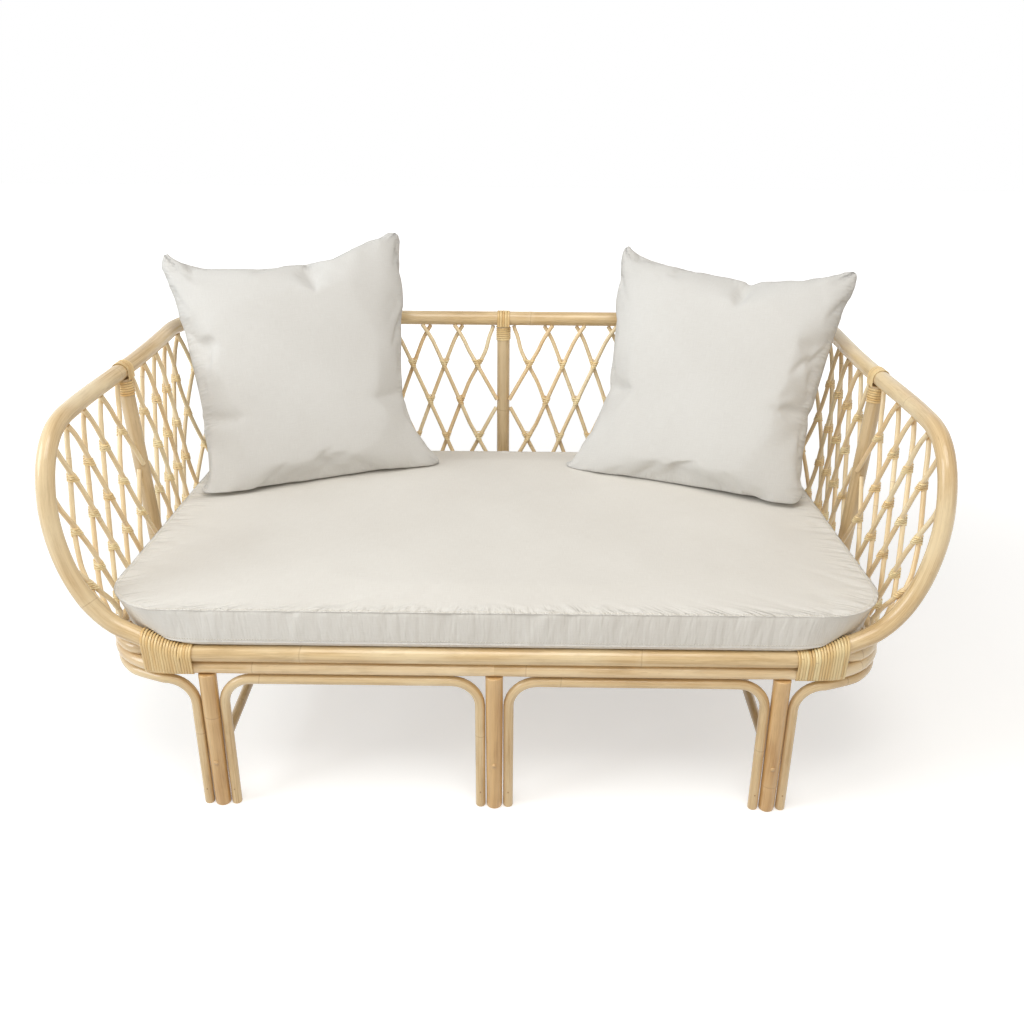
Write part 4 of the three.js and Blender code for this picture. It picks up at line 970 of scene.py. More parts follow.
# where a pole passes x, and the half height of its slanting section there
def passing(stations, x, radius):
    underRail = plan["railHeight"] - plan["railRadius"] * 2
    for a, b in reversed(list(zip(stations, stations[1:]))):
        if (a[0] - x) * (b[0] - x) <= 0 and a[0] != b[0] and a[2] < underRail:
            share = (x - a[0]) / (b[0] - a[0])
            slant = abs(b[0] - a[0]) / math.dist(a, b)
            return mix(a[1], b[1], share), mix(a[2], b[2], share), (radius + gap * 2) / slant
    return None


def bundleAt(x):
    return [passing(loopStations, x, plan["railRadius"]) or passing(straightRail, x, plan["railRadius"]),
            passing(upperFront, x, plan["upperRingRadius"]), passing(lowerFront, x, plan["lowerRingRadius"])]


def frontWinding():
    chain = []
    for i in range(int(plan["bindingLength"] / plan["canePitch"]) * winding["steps"] + 1):
        turn = i / winding["steps"]
        angle = (turn - 0.25) * 2 * math.pi
        x = bindingInnerX + turn * plan["canePitch"]
        out = Vector((0, math.cos(angle), math.sin(angle)))
        y, z, radius = max(bundleAt(x), key=lambda pole: pole[0] * out.y + pole[1] * out.z + pole[2])
        chain.append((Vector((x, y, z)) + out * (radius + plan["caneThickness"] / 2), 1, out))
    return chain


def neckWinding(foot, top):
    down = (foot - top).normalized()
    across = Vector((0, 1, 0)).cross(down).normalized()
    beside = down.cross(across)
    start = top + down * (plan["caneWidth"] / 2 + gap * 4)
    reach = plan["uprightRadius"] + gap + plan["caneThickness"] / 2
    chain = []
    for i in range(plan["neckTurns"] * winding["neckSteps"] + 1):
        turn = i / winding["neckSteps"]
        angle = turn * 2 * math.pi
        out = across * math.cos(angle) + beside * math.sin(angle)
        chain.append((start + down * turn * plan["canePitch"] + out * reach, 1, out))
    return chain


# strands side by side, each up one side of the rail, over it and down the other side
def saddleStrands(top, along):
    across = upward.cross(along)
    radius = plan["railRadius"] + gap * 2 + winding["thickness"] / 2
    steps, legSteps = winding["strapSteps"], winding["strapLegSteps"]
    angles = [math.pi * i / steps for i in range(steps + 1)]
    leg = [(across, -plan["railRadius"] * i / legSteps) for i in range(legSteps, 0, -1)]
    over = [(across * math.cos(a) + upward * math.sin(a), 0) for a in angles]
    section = leg + over + [(-out, drop) for out, drop in leg[::-1]]
    chains = []
    for k in range(winding["strands"]):
        shift = (k - (winding["strands"] - 1) / 2) * (winding["strandWidth"] + winding["strandGap"])
        middle = Vector((top.x, top.y, plan["railHeight"])) + along * shift
        chains.append([(middle + out * radius + upward * drop, 1, out) for out, drop in section])
    return chains


def addBindings():
    nodes = nodesWith("front_left_binding") + nodesWith("front_right_binding")
    addCanes("frontWindings", bothSides([frontWinding()]), "winding", nodes, winding["width"],
             winding["thickness"])
    (backFoot, backTop), (armFoot, armTop) = uprightLines
    necks = [neckWinding(backFoot, backTop)] + bothSides([neckWinding(armFoot, armTop)])
    addCanes("neckWindings", necks, "winding", nodesWith("neck_binding"), winding["neckWidth"],
             winding["neckThickness"])
    ahead, behind = (Vector(nearestOn(railSegments, np.array(armTop) + (0, away, 0)))
                     for away in (-winding["strapSpan"], winding["strapSpan"]))
    strands = saddleStrands(backTop, Vector((1, 0, 0)))
    strands += bothSides(saddleStrands(armTop, (ahead - behind).normalized()))
    addCanes("saddleStraps", strands, "strap", nodesWith("saddle_strap"), winding["strandWidth"],
             winding["thickness"])


addBindings()
print("bindings made")

# wooden plugs in the posts and nails near the feet of the thin poles, sunk by half their depth
fixing = {
    "plugRadius": 4.2, "plugDepth": 2.8, "nailRadius": 1.3, "nailDepth": 1.6, "nailHeight": 34, "sides": 16,
}


def frontAndBack(places, height, radius):
    return [((x, y, height), (0, side, 0)) for x in places
            for y, side in ((-radius, -1), (ringDepth + radius, 1))]


def addFixings(name, spots, radius, depth, finish):
    chains = [[(spot, 1, out)] for spot, out in spots]
    settings = {"Radius": radius / 1000, "Depth": depth / 1000, "Sides": fixing["sides"],
                "Finish": materials[finish]}
    settle(growFrom(chainMesh(name, chains), fixingTree, name, settings), "frame")


plugs = frontAndBack(legPlaces, plan["stretcherHeight"], legAtStretcher)
nailPlaces = [x + away for x in legPlaces for away in (-archOffset, archOffset)]
nails = frontAndBack(nailPlaces, fixing["nailHeight"], plan["thinRadius"])
addFixings("postPlugs", plugs, fixing["plugRadius"], fixing["plugDepth"], "post")
addFixings("poleNails", nails, fixing["nailRadius"], fixing["nailDepth"], "nail")
print("fixings made")

# soft goods are sheets blown up by the cloth solver, then finished with their seams, creases and folds
cushion = {
    "sideGap": 8, "backGap": 27, "taper": 30, "frontY": -8, "topCorner": 105, "bottomCorner": 158,
    "backCorner": 150, "seamHeight": 62, "crown": 14, "lip": 11, "drawIn": 1.2, "restGap": 0.6,
    "poleClear": 1.6, "clearY": 60, "clearX": 40,
}
cushionBottom = plan["frontRailHeight"] + plan["frontRailRadius"] + cushion["restGap"]
seamLow = cushionBottom + cushion["lip"]
seamHigh = seamLow + cushion["seamHeight"]
cushionTop = seamHigh + cushion["crown"]
cushionHalf = ringHalfWidth - cushion["sideGap"]
cushionBackY = ringDepth - cushion["backGap"]
solver = {"quality": 6, "mass": 0.3, "shearShare": 0.4, "pinStiffness": 4}
stitching = {"spacing": 0.0046, "length": 0.0032, "radius": 0.00055, "proud": 0.0001}


def bell(value):
    return np.exp(-value ** 2)


# a ridge with a hollow beside it, of a depth, place and width in shares of the ridge's
def ridge(across, hollow, place, spread):
    return bell(across) - hollow * bell((across - place) / spread)


def pointsOf(mesh):
    return np.array([tuple(v.co) for v in mesh.vertices])


def lengthsAlong(line):
    return np.concatenate([[0], np.cumsum(np.linalg.norm(np.diff(line, axis=0), axis=1))])


# the springs rest at the lengths between the rest points; a gathered border is sewn shorter than the sheet
def blowUp(mesh, name, cloth, rest, pins, gathered):
    carrier = addObject(name + "Sewn", mesh)
    modifier = carrier.modifiers.new("blowUp", "CLOTH")
    settings = modifier.settings
    settings.quality = solver["quality"]
    settings.mass = solver["mass"]
    settings.tension_stiffness = settings.compression_stiffness = cloth["stiffness"]
    settings.shear_stiffness = cloth["stiffness"] * solver["shearShare"]
    settings.bending_stiffness = cloth["bending"]
    settings.use_pressure = True
    settings.uniform_pressure_force = cloth["pressure"]
    settings.effector_weights.gravity = 0
    modifier.collision_settings.use_collision = False
    carrier.shape_key_add(name="Basis")
    flat = carrier.shape_key_add(name="flatSheet")
    flat.data.foreach_set("co", np.asarray(rest, np.float32).ravel())
    flat.value = 0
    settings.rest_shape_key = flat
    if gathered:
        carrier.vertex_groups.new(name="gathered").add(gathered, 1.0, "REPLACE")
        settings.vertex_group_shrink = "gathered"
        settings.shrink_min, settings.shrink_max = 0, cloth["seamGather"]
    if pins:
        group = carrier.vertex_groups.new(name="pinned")
        for weight, members in pins.items():
            group.add(members, weight, "REPLACE")
        settings.vertex_group_mass = "pinned"
        settings.pin_stiffness = solver["pinStiffness"]
    modifier.point_cache.frame_start, modifier.point_cache.frame_end = 1, cloth["frames"]
    for step in range(1, cloth["frames"] + 1):
        bpy.context.scene.frame_set(step)
    result = pointsOf(carrier.evaluated_get(bpy.context.evaluated_depsgraph_get()).data)
    bpy.data.objects.remove(carrier)
    bpy.context.scene.frame_set(1)
    return result


def capped(start, moved, most):
    shift = moved - start
    length = np.linalg.norm(shift, axis=1, keepdims=True)
    return start + shift * np.minimum(1, most / np.maximum(length, 1e-9))


def smoothedPiece(mesh, points, name, finish):
    mesh.vertices.foreach_set("co", np.asarray(points, np.float32).ravel())
    mesh.update()
    mesh.materials.append(materials[finish])
    mesh.polygons.foreach_set("use_smooth", [True] * len(mesh.polygons))
    carrier = addObject(name + "Coarse", mesh)
    finer = carrier.modifiers.new("finer", "SUBSURF")
    finer.levels = finer.render_levels = 1
    finer.boundary_smooth = "PRESERVE_CORNERS"
    return plainPiece(carrier, name)


def setLayers(mesh, cloth, seam, puckers):
    for name, corners in (("cloth", cloth), ("seam", seam)):
        mesh.uv_layers.new(name=name).data.foreach_set("uv", np.array(corners, np.float32).ravel())
    values = np.asarray(puckers, np.float32)
    mesh.attributes.new("puckers", "FLOAT", "POINT").data.foreach_set("value", values)


def addStitches(name, lines, body):
    mesh = bpy.data.meshes.new(name)
    edges, points = [], []
    for line in lines:
        edges += [(len(points) + k, len(points) + k + 1) for k in range(len(line) - 1)]
        points += line
    mesh.from_pydata(points, edges, [])
    settings = {"Spacing": stitching["spacing"], "Length": stitching["length"], "Radius": stitching["radius"],
                "Finish": materials["thread"]}
    settle(growFrom(mesh, stitchTree, name, settings), body)


# the seat cushion is a stack of rings, which go out under it, up its band and in again on top
seat = {
    "half": 225, "cornerSteps": 30, "topRings": 32, "bottomRings": 11, "topCrowding": 1.7,
    "bottomCrowding": 2.4, "middle": 6, "shrink": (0.62, 0.12), "shrinkReach": 300, "bottomLift": 0.3,
    "lipReach": 2.6, "lipShare": 0.9, "edgeRise": 0.4, "edgeReach": 7, "crownReach": 210,
    "frames": 14, "pressure": 2.4, "stiffness": 30, "bending": 0.35, "looseness": 0.012, "mostMove": 0.018,
    "flatWithin": 2, "seamHold": 0.9, "seamRidge": 2.0, "seamGroove": 1.6, "stitch": 0.0085,
    "stitchDepth": 0.35, "creases": 130, "creaseWidth": (7, 17), "creaseDepth": (0.85, 3.4),
    "creaseSlant": (-30, 30), "creaseReach": (25, 110), "creaseStart": 18, "topSlant": 25,
    "creaseHollow": (0.5, 1.9, 1.4), "bandShare": 0.55, "bandFoot": 0.35, "puckerReach": 0.042,
    "bandPuckers": 0.35, "bottomPuckers": 0.3, "bandShift": 0.9, "seed": 11, "fill": 0.75,
}
bandShares = [0, 0.035, 0.08, 0.17, 0.3, 0.43, 0.57, 0.7, 0.83, 0.92, 0.965, 1]
firstBand = seat["bottomRings"]
lastBand = firstBand + len(bandShares) - 1


def cushionOutline(corner):
    back, rear, front = cushionHalf - cushion["taper"], cushion["backCorner"], cushion["frontY"]
    angles = np.linspace(0, math.pi / 2, seat["cornerSteps"])
    inFromSin, inFromCos = 1 - np.sin(angles), 1 - np.cos(angles)
    fine = [(0, front)]
    fine += zip(cushionHalf - corner * inFromSin, front + corner * inFromCos)
    fine += zip(back - rear * inFromCos, cushionBackY - rear * inFromSin)
    fine = np.array(fine + [(0, cushionBackY)])
    lengths = lengthsAlong(fine)
    even = np.linspace(0, lengths[-1], seat["half"] + 1)
    right = np.stack([np.interp(even, lengths, fine[:, k]) for k in range(2)], 1)
    return np.concatenate([right, right[1:-1][::-1] * (-1, 1)]), even


def cushionRings():
    middleY = (cushion["frontY"] + cushionBackY) / 2
    low, _ = cushionOutline(cushion["bottomCorner"])
    high, even = cushionOutline(cushion["topCorner"])
    rings = []

    def addRing(outline, inset, height, zone):
        away = inset if zone != "band" else height - seamLow
        shrink, ends = inset / cushionHalf, seat["shrink"]
        shrinkY = shrink * (ends[0] + ends[1] * min(1, inset / seat["shrinkReach"]))
        x, y = outline[:, 0] * (1 - shrink), middleY + (outline[:, 1] - middleY) * (1 - shrinkY)
        points = np.stack([x, y, np.full(len(x), height)], 1)
        rings.append({"points": points, "zone": zone, "away": away / 1000})

    reach = cushionHalf - seat["middle"]
    for k in range(seat["bottomRings"]):
        inset = reach * (1 - k / seat["bottomRings"]) ** seat["bottomCrowding"]
        rise = seat["lipShare"] * max(0, 1 - inset / (cushion["lip"] * seat["lipReach"])) ** 2
        addRing(low, inset, cushionBottom + seat["bottomLift"] + cushion["lip"] * rise, "bottom")
    for share in bandShares:
        inset = cushion["drawIn"] * math.sin(math.pi * share)
        addRing(low * (1 - share) + high * share, inset, mix(seamLow, seamHigh, share), "band")
    for k in range(1, seat["topRings"] + 1):
        inset = reach * (k / seat["topRings"]) ** seat["topCrowding"]
        edge = 1 - math.exp(-inset / seat["edgeReach"])
        rise = mix(smooth(inset / seat["crownReach"]), edge, seat["edgeRise"])
        addRing(high, inset, seamHigh + cushion["crown"] * rise, "top")
    return rings, even


def ringPuckers(ring):
    if ring["zone"] == "band":
        return seat["bandPuckers"]
    most = seat["bottomPuckers"] if ring["zone"] == "bottom" else 1
    return most * math.exp(-(ring["away"] / seat["puckerReach"]) ** 2)


def makeSeatMesh():
    rings, even = cushionRings()
    around = len(rings[0]["points"])
    arcs = np.concatenate([even, even[-1] + even[1:]])
    faces, cloth, seam = [], [], []

    def corner(ring, i, onBand=False):
        x, y, z = rings[ring]["points"][i % around] / 1000
        return (arcs[i] / 1000, z + seat["bandShift"]) if onBand else (x, y)

    for r in range(len(rings) - 1):
        onBand = rings[r]["zone"] == rings[r + 1]["zone"] == "band"
        for i in range(around):
            spots = ((r, i), (r, i + 1), (r + 1, i + 1), (r + 1, i))
            faces.append([ring * around + k % around for ring, k in spots])
            cloth += [corner(ring, k, onBand) for ring, k in spots]
            seam += [(arcs[k] / 1000, rings[ring]["away"]) for ring, k in spots]
    for ring, direction in ((0, -1), (len(rings) - 1, 1)):
        for i in range(seat["half"]):
            order = (i, i + 1, (around - i - 1) % around, (around - i) % around)[::direction]
            order = list(dict.fromkeys(order))
            faces.append([ring * around + k for k in order])
            cloth += [corner(ring, k) for k in order]
            seam += [(0, 1)] * len(order)
    mesh = bpy.data.meshes.new("seatCushion")
    mesh.from_pydata([toFrame(p) for ring in rings for p in ring["points"]], [], faces)
    setLayers(mesh, cloth, seam, np.repeat([ringPuckers(ring) for ring in rings], around))
    zone = np.repeat([ring["zone"] for ring in rings], around)
    return mesh, zone, np.repeat(np.arange(len(rings)), around), np.tile(arcs[:around], len(rings)), around


# points near a front loop are pushed out of it
def clearOfPoles(points):
    radius = (plan["railRadius"] + plan["caneThickness"] + cushion["poleClear"]) / 1000
    loops = [segmentsOf([toFrame(p) for p in side]) for side in (mirrored(loopStations), loopStations)]
    inFront = points[:, 1] < (frontY + cushion["clearY"]) / 1000
    atSide = np.abs(points[:, 0]) > (jointX - cushion["clearX"]) / 1000
    for i in np.where(inFront & atSide)[0]:
        for segments in loops:
            spot = nearestOn(segments, points[i])
            away = points[i] - spot
            distance = np.linalg.norm(away)
            if distance < radius:
                points[i] = spot + away / max(distance, 1e-6) * radius
    return points


def seatCreases(points, arcs, level):
    random = np.random.default_rng(seat["seed"])
    length = arcs.max()
    onBand, onTop = (level > firstBand) & (level < lastBand), level > lastBand
    up = np.clip((points[:, 2] * 1000 - seamLow) / (seamHigh - seamLow), 0, 1)
    inward = np.clip((level - lastBand) / seat["topRings"], 0, 1) ** seat["topCrowding"] * cushionHalf
    rise = np.clip(inward / seat["creaseStart"], 0, 1)
    bandFade = seat["bandShare"] * mix(seat["bandFoot"], 1, up)
    push = np.zeros(len(points))
    for _ in range(seat["creases"]):
        place, width = random.uniform(0, length), random.uniform(*seat["creaseWidth"])
        depth, slant = random.uniform(*seat["creaseDepth"]), random.uniform(*seat["creaseSlant"])
        reach = random.uniform(*seat["creaseReach"])
        topLean = slant + inward * slant / seat["topSlant"]
        topFade = rise * bell(inward / reach)
        for zone, lean, fade in ((onBand, up * slant, bandFade), (onTop, topLean, topFade)):
            away = (arcs - place - lean + length / 2) % length - length / 2
            push -= np.where(zone, depth * ridge(away / width, *seat["creaseHollow"]) * fade, 0)
    return push


def seatRelief(points, arcs, level):
    wave = np.cos(arcs / 1000 / seat["stitch"] * 2 * math.pi) * seat["stitchDepth"]
    beside = np.isin(level, [firstBand - 1, firstBand + 1, lastBand - 1, lastBand + 1])
    seams = np.where(np.isin(level, [firstBand, lastBand]), seat["seamRidge"],
                     np.where(beside, wave - seat["seamGroove"], 0))
    push = (seatCreases(points, arcs, level) + seams) / 1000
    outward = points * (1, 1, 0) - points.mean(0) * (1, 1, 0)
    outward /= np.linalg.norm(outward, axis=1, keepdims=True)
    return np.where((level > lastBand)[:, None], (0, 0, 1), outward) * push[:, None]


def addSeatCushion():
    mesh, zone, level, arcs, around = makeSeatMesh()
    points = pointsOf(mesh)
    low, high = seamHigh / 1000, cushionTop / 1000
    flat = (zone == "bottom") & (points[:, 2] < (cushionBottom + seat["flatWithin"]) / 1000)
    seam = np.isin(level, [firstBand, lastBand])
    pins = {1.0: np.where(flat)[0].tolist(), seat["seamHold"]: np.where(seam)[0].tolist()}
    loose = points * (1 + seat["looseness"], 1 + seat["looseness"], 1)
    blown = blowUp(mesh.copy(), "seatCushion", seat, loose, pins, [])
    points = capped(points, blown, seat["mostMove"])
    crown = (zone == "top") & (points[:, 2] > low)
    points[crown, 2] = low + (points[crown, 2] - low) * (high - low) / (points[zone == "top", 2].max() - low)
    points += seatRelief(points, arcs, level)
    points[:, 2] = np.minimum(points[:, 2], high)
    piece = smoothedPiece(mesh, clearOfPoles(points), "seatCushion", "seat")
    settle(piece, "seat_cushion", ["seat_cushion"])
    lines = []
    for ring in (firstBand + 2, lastBand + 2):
        members = piece.data.vertices[ring * around:(ring + 1) * around]
        lines.append([v.co + v.normal * stitching["proud"] for v in members])
    addStitches("seatStitches", lines, "seat_cushion")


addSeatCushion()
print("seat cushion made")

# a pillow is two sheets sewn at the edge; u and v run from -1 to 1 across it and up it
pillowCloth = {
    "width": 492, "thickness": 178, "sink": 38, "cells": 74, "slack": 1.02, "fullness": 0.6,
    "profileSteps": 400, "waistReach": 0.5, "waistLeast": 0.3, "waistBlend": 0.2, "pinch": 5,
    "pinchReach": 0.05, "footPull": 9, "earPower": 10, "earRound": 0.06, "earLength": 0.05, "earShare": 0.6,
    "puckerReach": 0.05, "puckerCorner": 0.02, "thinFold": 30, "restRound": 20,
    "restSoft": 0.12, "seamGather": 0.03, "sideShift": 0.9, "flatDepth": 0.0005, "frames": 18,
    "pressure": 3.2, "stiffness": 25, "bending": 0.16, "mostMove": 0.028, "seamGap": 0.0012,
}
fold = {
    "width": (0.018, 0.05), "reach": (0.08, 0.42), "depth": (1.375, 5.5), "hollow": (0.55, 1.9, 1.2),
    "place": (-0.9, 0.9), "slant": (-0.5, 0.5), "spread": 1.5,
    "top": (15, 1), "foot": (13, 0.8), "sides": (9, 0.7),
    "notchDepth": 8, "notchPeak": 5, "notchPeakWidth": 0.04, "notchWidth": 0.035, "notchSlant": 0.25,
    "notchReach": 0.26, "notchHollow": (0.6, -2, 1.3),
    "pinchDepth": 9, "pinchSlopes": (-0.55, 0.7), "pinchWidth": (0.04, 0.1), "pinchReach": 0.3,
    "pinchHollow": (0.5, 1.8, 1), "dents": (2.5, 3.1, 2.7),
}
pillows = {
    "pillow_left": {
        "side": -1, "height": 541, "fromSide": 295, "fromBack": 198, "turn": 17, "lean": 26, "roll": -3,
        "leanOut": 0.0, "seed": 3, "fill": 0.7, "taper": 0.03, "flare": 0.03, "waists": (16, 42),
        "waistAt": -0.34, "notch": 0.14,
        "topLine": ((-1, 42), (-0.78, 46), (-0.13, 48), (0.15, 49), (0.35, 40), (0.7, 21), (1, 16)),
    },
    "pillow_right": {
        "side": 1, "height": 522, "fromSide": 297, "fromBack": 210, "turn": 23, "lean": 25, "roll": 0,
        "leanOut": 0.07, "seed": 8, "fill": 0.75, "taper": 0.018, "flare": 0.03, "waists": (37, 12),
        "waistAt": -0.2, "notch": 0.18,
        "topLine": ((-1, 24), (-0.5, 27), (0, 33), (0.18, 38), (0.28, 33), (0.45, 28), (0.83, 17), (1, 15)),
    },
}


# places across a half pillow's bulge at even steps of cloth, the bulge there, and the cloth's half length
def sheetProfile(halfSize):
    angles = np.linspace(0, math.pi / 2, pillowCloth["profileSteps"])
    bulge = np.cos(angles) ** pillowCloth["fullness"]
    line = np.stack([np.sin(angles) * halfSize, bulge * pillowCloth["thickness"] / 2], 1)
    lengths = lengthsAlong(line)
    shares = np.linspace(-1, 1, pillowCloth["cells"] + 1)
    angle = np.interp(np.abs(shares) * lengths[-1], lengths, angles)
    return np.sign(shares) * np.sin(angle), np.cos(angle) ** pillowCloth["fullness"], lengths[-1]


def roundCorner(u, v):
    flat = 1 - pillowCloth["earRound"]
    a, b = np.abs(u) - flat, np.abs(v) - flat
    inCorner = (a > 0) & (b > 0)
    scale = np.maximum(a, b) / np.maximum(np.hypot(a, b), 1e-9)
    return (np.where(inCorner, np.sign(u) * (flat + a * scale), u),
            np.where(inCorner, np.sign(v) * (flat + b * scale), v))


def foldsAlong(random, countAndShare, along, away):
    count, share = countAndShare
    push = np.zeros_like(along)
    for _ in range(count):
        width, reach = random.uniform(*fold["width"]), random.uniform(*fold["reach"])
        depth = random.uniform(*fold["depth"])
        across = along - random.uniform(*fold["place"]) - random.uniform(*fold["slant"]) * away
        across /= width * (1 + fold["spread"] * away)
        push += depth * ridge(across, *fold["hollow"]) * bell(away / reach)
    return push * share


def pillowFolds(place, u, v):
    random = np.random.default_rng(place["seed"])
    push = foldsAlong(random, fold["top"], u, 1 - v)
    push += foldsAlong(random, fold["foot"], u, 1 + v)
    push += foldsAlong(random, fold["sides"], v, 1 - u)
    push += foldsAlong(random, fold["sides"], v, 1 + u)
    notch = (u - place["notch"] - fold["notchSlant"] * (1 - v)) / fold["notchWidth"]
    push += fold["notchDepth"] * ridge(notch, *fold["notchHollow"]) * bell((1 - v) / fold["notchReach"])
    for away in (1 + u, 1 - u):
        for slope in fold["pinchSlopes"]:
            width = fold["pinchWidth"][0] + fold["pinchWidth"][1] * away
            across = (v - place["waistAt"] - slope * away) / width
            push += fold["pinchDepth"] * ridge(across, *fold["pinchHollow"]) * bell(away / fold["pinchReach"])
    (dent, waveU, waveV), seed = fold["dents"], place["seed"]
    return push + dent * np.sin(waveU * u + seed) * np.sin(waveV * v + 2 * seed)


def pillowSheet(place):
    shape, halfWidth, halfHeight = pillowCloth, pillowCloth["width"] / 2, place["height"] / 2
    across, bulgeAcross, reachX = sheetProfile(halfWidth)
    upwards, bulgeUp, reachZ = sheetProfile(halfHeight)
    even = np.linspace(-1, 1, shape["cells"] + 1)
    u, v = roundCorner(*np.meshgrid(across, upwards))
    su, sv = roundCorner(*np.meshgrid(even, even))
    power, awayFromWaist = shape["earPower"], v - place["waistAt"]
    topPull = np.interp(u, *zip(*place["topLine"]))
    topPull += fold["notchPeak"] * bell((u - place["notch"]) / fold["notchPeakWidth"])
    pull = np.where(v > 0, topPull, shape["footPull"]) * (1 - np.abs(u) ** power)
    waist = np.interp(u, (-shape["waistBlend"], shape["waistBlend"]), place["waists"])
    waist *= mix(shape["waistLeast"], 1, bell(awayFromWaist / shape["waistReach"]))
    waist += shape["pinch"] * bell(awayFromWaist / shape["pinchReach"])
    x = u * (halfWidth * (1 + place["flare"] * (1 - v) / 2) - waist * (1 - np.abs(v) ** power))
    z = v * (halfHeight - pull * v ** 2) * (1 - place["taper"] * u)
    toSide, toTop = (1 - np.abs(su)) * reachX / 1000, (1 - np.abs(sv)) * reachZ / 1000
    ear = np.clip(np.hypot(toSide, toTop) / shape["earLength"], 0, 1)
    bulge = np.outer(bulgeUp, bulgeAcross) * (1 - shape["earShare"] * (1 - ear ** 2 * (3 - 2 * ear)))
    depth = shape["thickness"] / 2 * bulge
    alongSeam = np.where(toTop < toSide, su * reachX / 1000, sv * reachZ / 1000 + shape["sideShift"])
    toSeam = np.minimum(toTop, toSide)
    puckers = bell(toSeam / shape["puckerReach"])
    puckers *= np.clip(np.abs(toTop - toSide) / shape["puckerCorner"], 0, 1)
    return {"x": x / 1000, "z": z / 1000, "depth": depth / 1000, "puckers": puckers,
            "seam": np.stack([alongSeam, toSeam], 2),
            "flatX": su * reachX * shape["slack"] / 1000, "flatZ": sv * reachZ * shape["slack"] / 1000,
            "folds": pillowFolds(place, su, sv) * np.clip(depth / shape["thinFold"], 0, 1) / 1000}


# the front sheet is -1 and the back sheet 1; they share the points of the sewn edge
def makePillowMesh(name, place):
    sheet, cells = pillowSheet(place), pillowCloth["cells"]
    steps = range(cells + 1)
    points, flat, folds, puckers, index = [], [], [], [], {}

    def keyOf(side, i, j):
        return (0 if i in (0, cells) or j in (0, cells) else side, i, j)

    for side in (-1, 1):
        for j, i in ((j, i) for j in steps for i in steps):
            key = keyOf(side, i, j)
            if key not in index:
                index[key] = len(points)
                points.append((sheet["x"][j, i], key[0] * sheet["depth"][j, i], sheet["z"][j, i]))
                flat.append((sheet["flatX"][j, i], key[0] * pillowCloth["flatDepth"], sheet["flatZ"][j, i]))
                folds.append((0, -key[0] * sheet["folds"][j, i], 0))
                puckers.append(sheet["puckers"][j, i])
    faces, cloth, seam = [], [], []
    for side, shift in ((-1, 0), (1, 1)):
        for j, i in ((j, i) for j in range(cells) for i in range(cells)):
            order = [(i, j), (i + 1, j), (i + 1, j + 1), (i, j + 1)][::-side]
            faces.append([index[keyOf(side, a, b)] for a, b in order])
            cloth += [(sheet["flatX"][b, a] + shift, sheet["flatZ"][b, a]) for a, b in order]
            seam += [tuple(sheet["seam"][b, a]) for a, b in order]
    mesh = bpy.data.meshes.new(name)
    mesh.from_pydata(points, [], faces)
    setLayers(mesh, cloth, seam, puckers)
    inner = range(1, cells)
    pairs = np.array([(index[(-1, i, j)], index[(1, i, j)]) for i in inner for j in inner])
    edge = [number for key, number in index.items() if key[0] == 0]
    return mesh, np.array(flat), np.array(folds), pairs, edge


def keepApart(points, pairs):
    front, back = points[pairs[:, 0]], points[pairs[:, 1]]
    middle = (front[:, 1] + back[:, 1]) / 2
    half = np.maximum((back[:, 1] - front[:, 1]) / 2, pillowCloth["seamGap"] / 2)
    points[pairs[:, 0], 1], points[pairs[:, 1], 1] = middle - half, middle + half
    return points


# sized, leant against the back, turned inwards, and flattened where it meets the seat cushion
def placePillow(points, place):
    wanted = (pillowCloth["width"] * (1 + place["flare"]), pillowCloth["thickness"], place["height"])
    wanted = np.array(wanted) / 1000
    points = (points - points.min(0)) / np.ptp(points, axis=0) * wanted - wanted * (0.5, 0.5, 0)
    side = place["side"]
    points[:, 0] += side * place["leanOut"] * points[:, 2]
    turn = Matrix.Rotation(math.radians(-side * place["turn"]), 3, "Z")
    turn = turn @ Matrix.Rotation(math.radians(-place["lean"]), 3, "X")
    turn = turn @ Matrix.Rotation(math.radians(place["roll"]), 3, "Y")
    rest, x = cushionTop + cushion["restGap"], side * (cushionHalf - place["fromSide"])
    foot = toFrame((x, cushionBackY - place["fromBack"], rest - pillowCloth["sink"]))
    points = points @ np.array(turn).T + tuple(foot)
    above = (points[:, 2] * 1000 - rest) / pillowCloth["restRound"]
    settled = (above + np.sqrt(above ** 2 + pillowCloth["restSoft"])) / 2
    points[:, 2] = (rest + pillowCloth["restRound"] * settled) / 1000
    return points


def addPillow(name, place):
    mesh, flat, folds, pairs, edge = makePillowMesh(name, place)
    points = pointsOf(mesh)
    blown = blowUp(mesh.copy(), name, pillowCloth, flat, {}, edge)
    points = keepApart(capped(points, blown, pillowCloth["mostMove"]) + folds, pairs)
    pieceName = name.replace("_left", "Left").replace("_right", "Right")
    piece = smoothedPiece(mesh, placePillow(points, place), pieceName, "pillow")
    settle(piece, name, [name])


for pillowName, pillowPlace in pillows.items():
    addPillow(pillowName, pillowPlace)
print("pillows made")

# floor, world and lamps
studio = {
    "worldStrength": 0.34, "worldTint": (1, 0.975, 0.94, 1), "floorTone": (0.82, 0.82, 0.82, 1),
    "floorHalf": 7, "floorGlow": 0.46, "farGlow": 1.0, "glowFrom": 1.1, "glowTo": 3.2, "aim": (0, 0, 0.4),
}
lamps = {
    "keyLamp": {"place": (-3.3, -1.35, 2.3), "size": 2.0, "power": 68, "tint": (0.92, 0.97, 1.0)},
    "fillLamp": {"place": (2.5, -2.7, 1.8), "size": 2.2, "power": 12, "tint": (1.0, 0.88, 0.7)},
    "topLamp": {"place": (0.0, -1.3, 3.1), "size": 1.8, "power": 43, "tint": (1.0, 0.975, 0.93)},
}


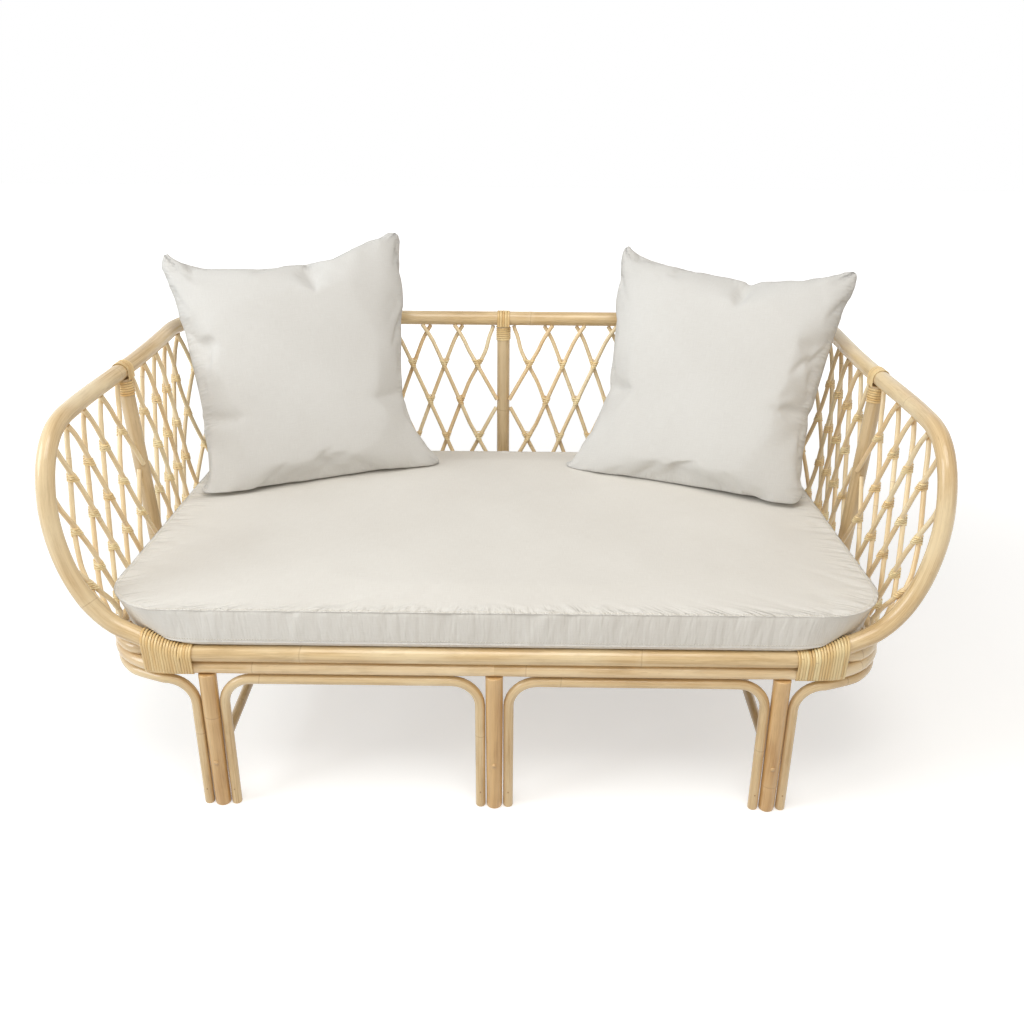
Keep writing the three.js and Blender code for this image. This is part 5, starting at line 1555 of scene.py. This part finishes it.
# 1 where a ray shows a surface itself, 0 where it only gathers light
def seenDirectly(tree):
    rays = addNode(tree, "ShaderNodeLightPath")
    camera, glossy, through = (Wire(tree, rays.outputs[label]) for label in
                               ("Is Camera Ray", "Is Glossy Ray", "Is Transmission Ray"))
    return camera.maths("MAXIMUM", glossy).maths("MAXIMUM", through)


def addWorld():
    world = bpy.data.worlds.new("studioAir")
    bpy.context.scene.world = world
    world.use_nodes = True
    tree = world.node_tree
    seen = seenDirectly(tree)
    tint = addMix(tree, seen, studio["worldTint"], (1, 1, 1, 1))
    strength = seen.between(0.0, 1.0, studio["worldStrength"], 1.0)
    linkAll(tree, {"Color": tint, "Strength": strength}, tree.nodes["Background"])


def addFloor():
    half = studio["floorHalf"]
    corners = [(x * half, y * half, 0) for x, y in ((-1, -1), (1, -1), (1, 1), (-1, 1))]
    mesh = bpy.data.meshes.new("floor")
    mesh.from_pydata(corners, [], [(0, 1, 2, 3)])
    material, tree, shader = newMaterial("paleFloor")
    setAll(shader, {"Base Color": studio["floorTone"], "Roughness": 0.9, "Specular IOR Level": 0.1,
                    "Emission Color": (1, 1, 1, 1)})
    place = wired(tree, "ShaderNodeTexCoord", output="Object")
    away = wired(tree, "ShaderNodeVectorMath", {0: place}, "Value", operation="LENGTH")
    near, far = studio["glowFrom"], studio["glowTo"]
    level = away.between(near, far, studio["floorGlow"], studio["farGlow"], soft=True)
    linkAll(tree, {"Emission Strength": seenDirectly(tree) * level}, shader)
    mesh.materials.append(material)
    addObject("floor", mesh)


def addLamp(name, lamp):
    data = bpy.data.lights.new(name, "AREA")
    data.size, data.energy, data.color = lamp["size"], lamp["power"], lamp["tint"]
    thing = addObject(name, data)
    thing.location = lamp["place"]
    aim = Vector(studio["aim"]) - Vector(lamp["place"])
    thing.rotation_euler = aim.to_track_quat("-Z", "Y").to_euler()


addWorld()
addFloor()
for lampName, lampPlace in lamps.items():
    addLamp(lampName, lampPlace)
bpy.context.scene.view_settings.view_transform = "Standard"
print("studio lit")
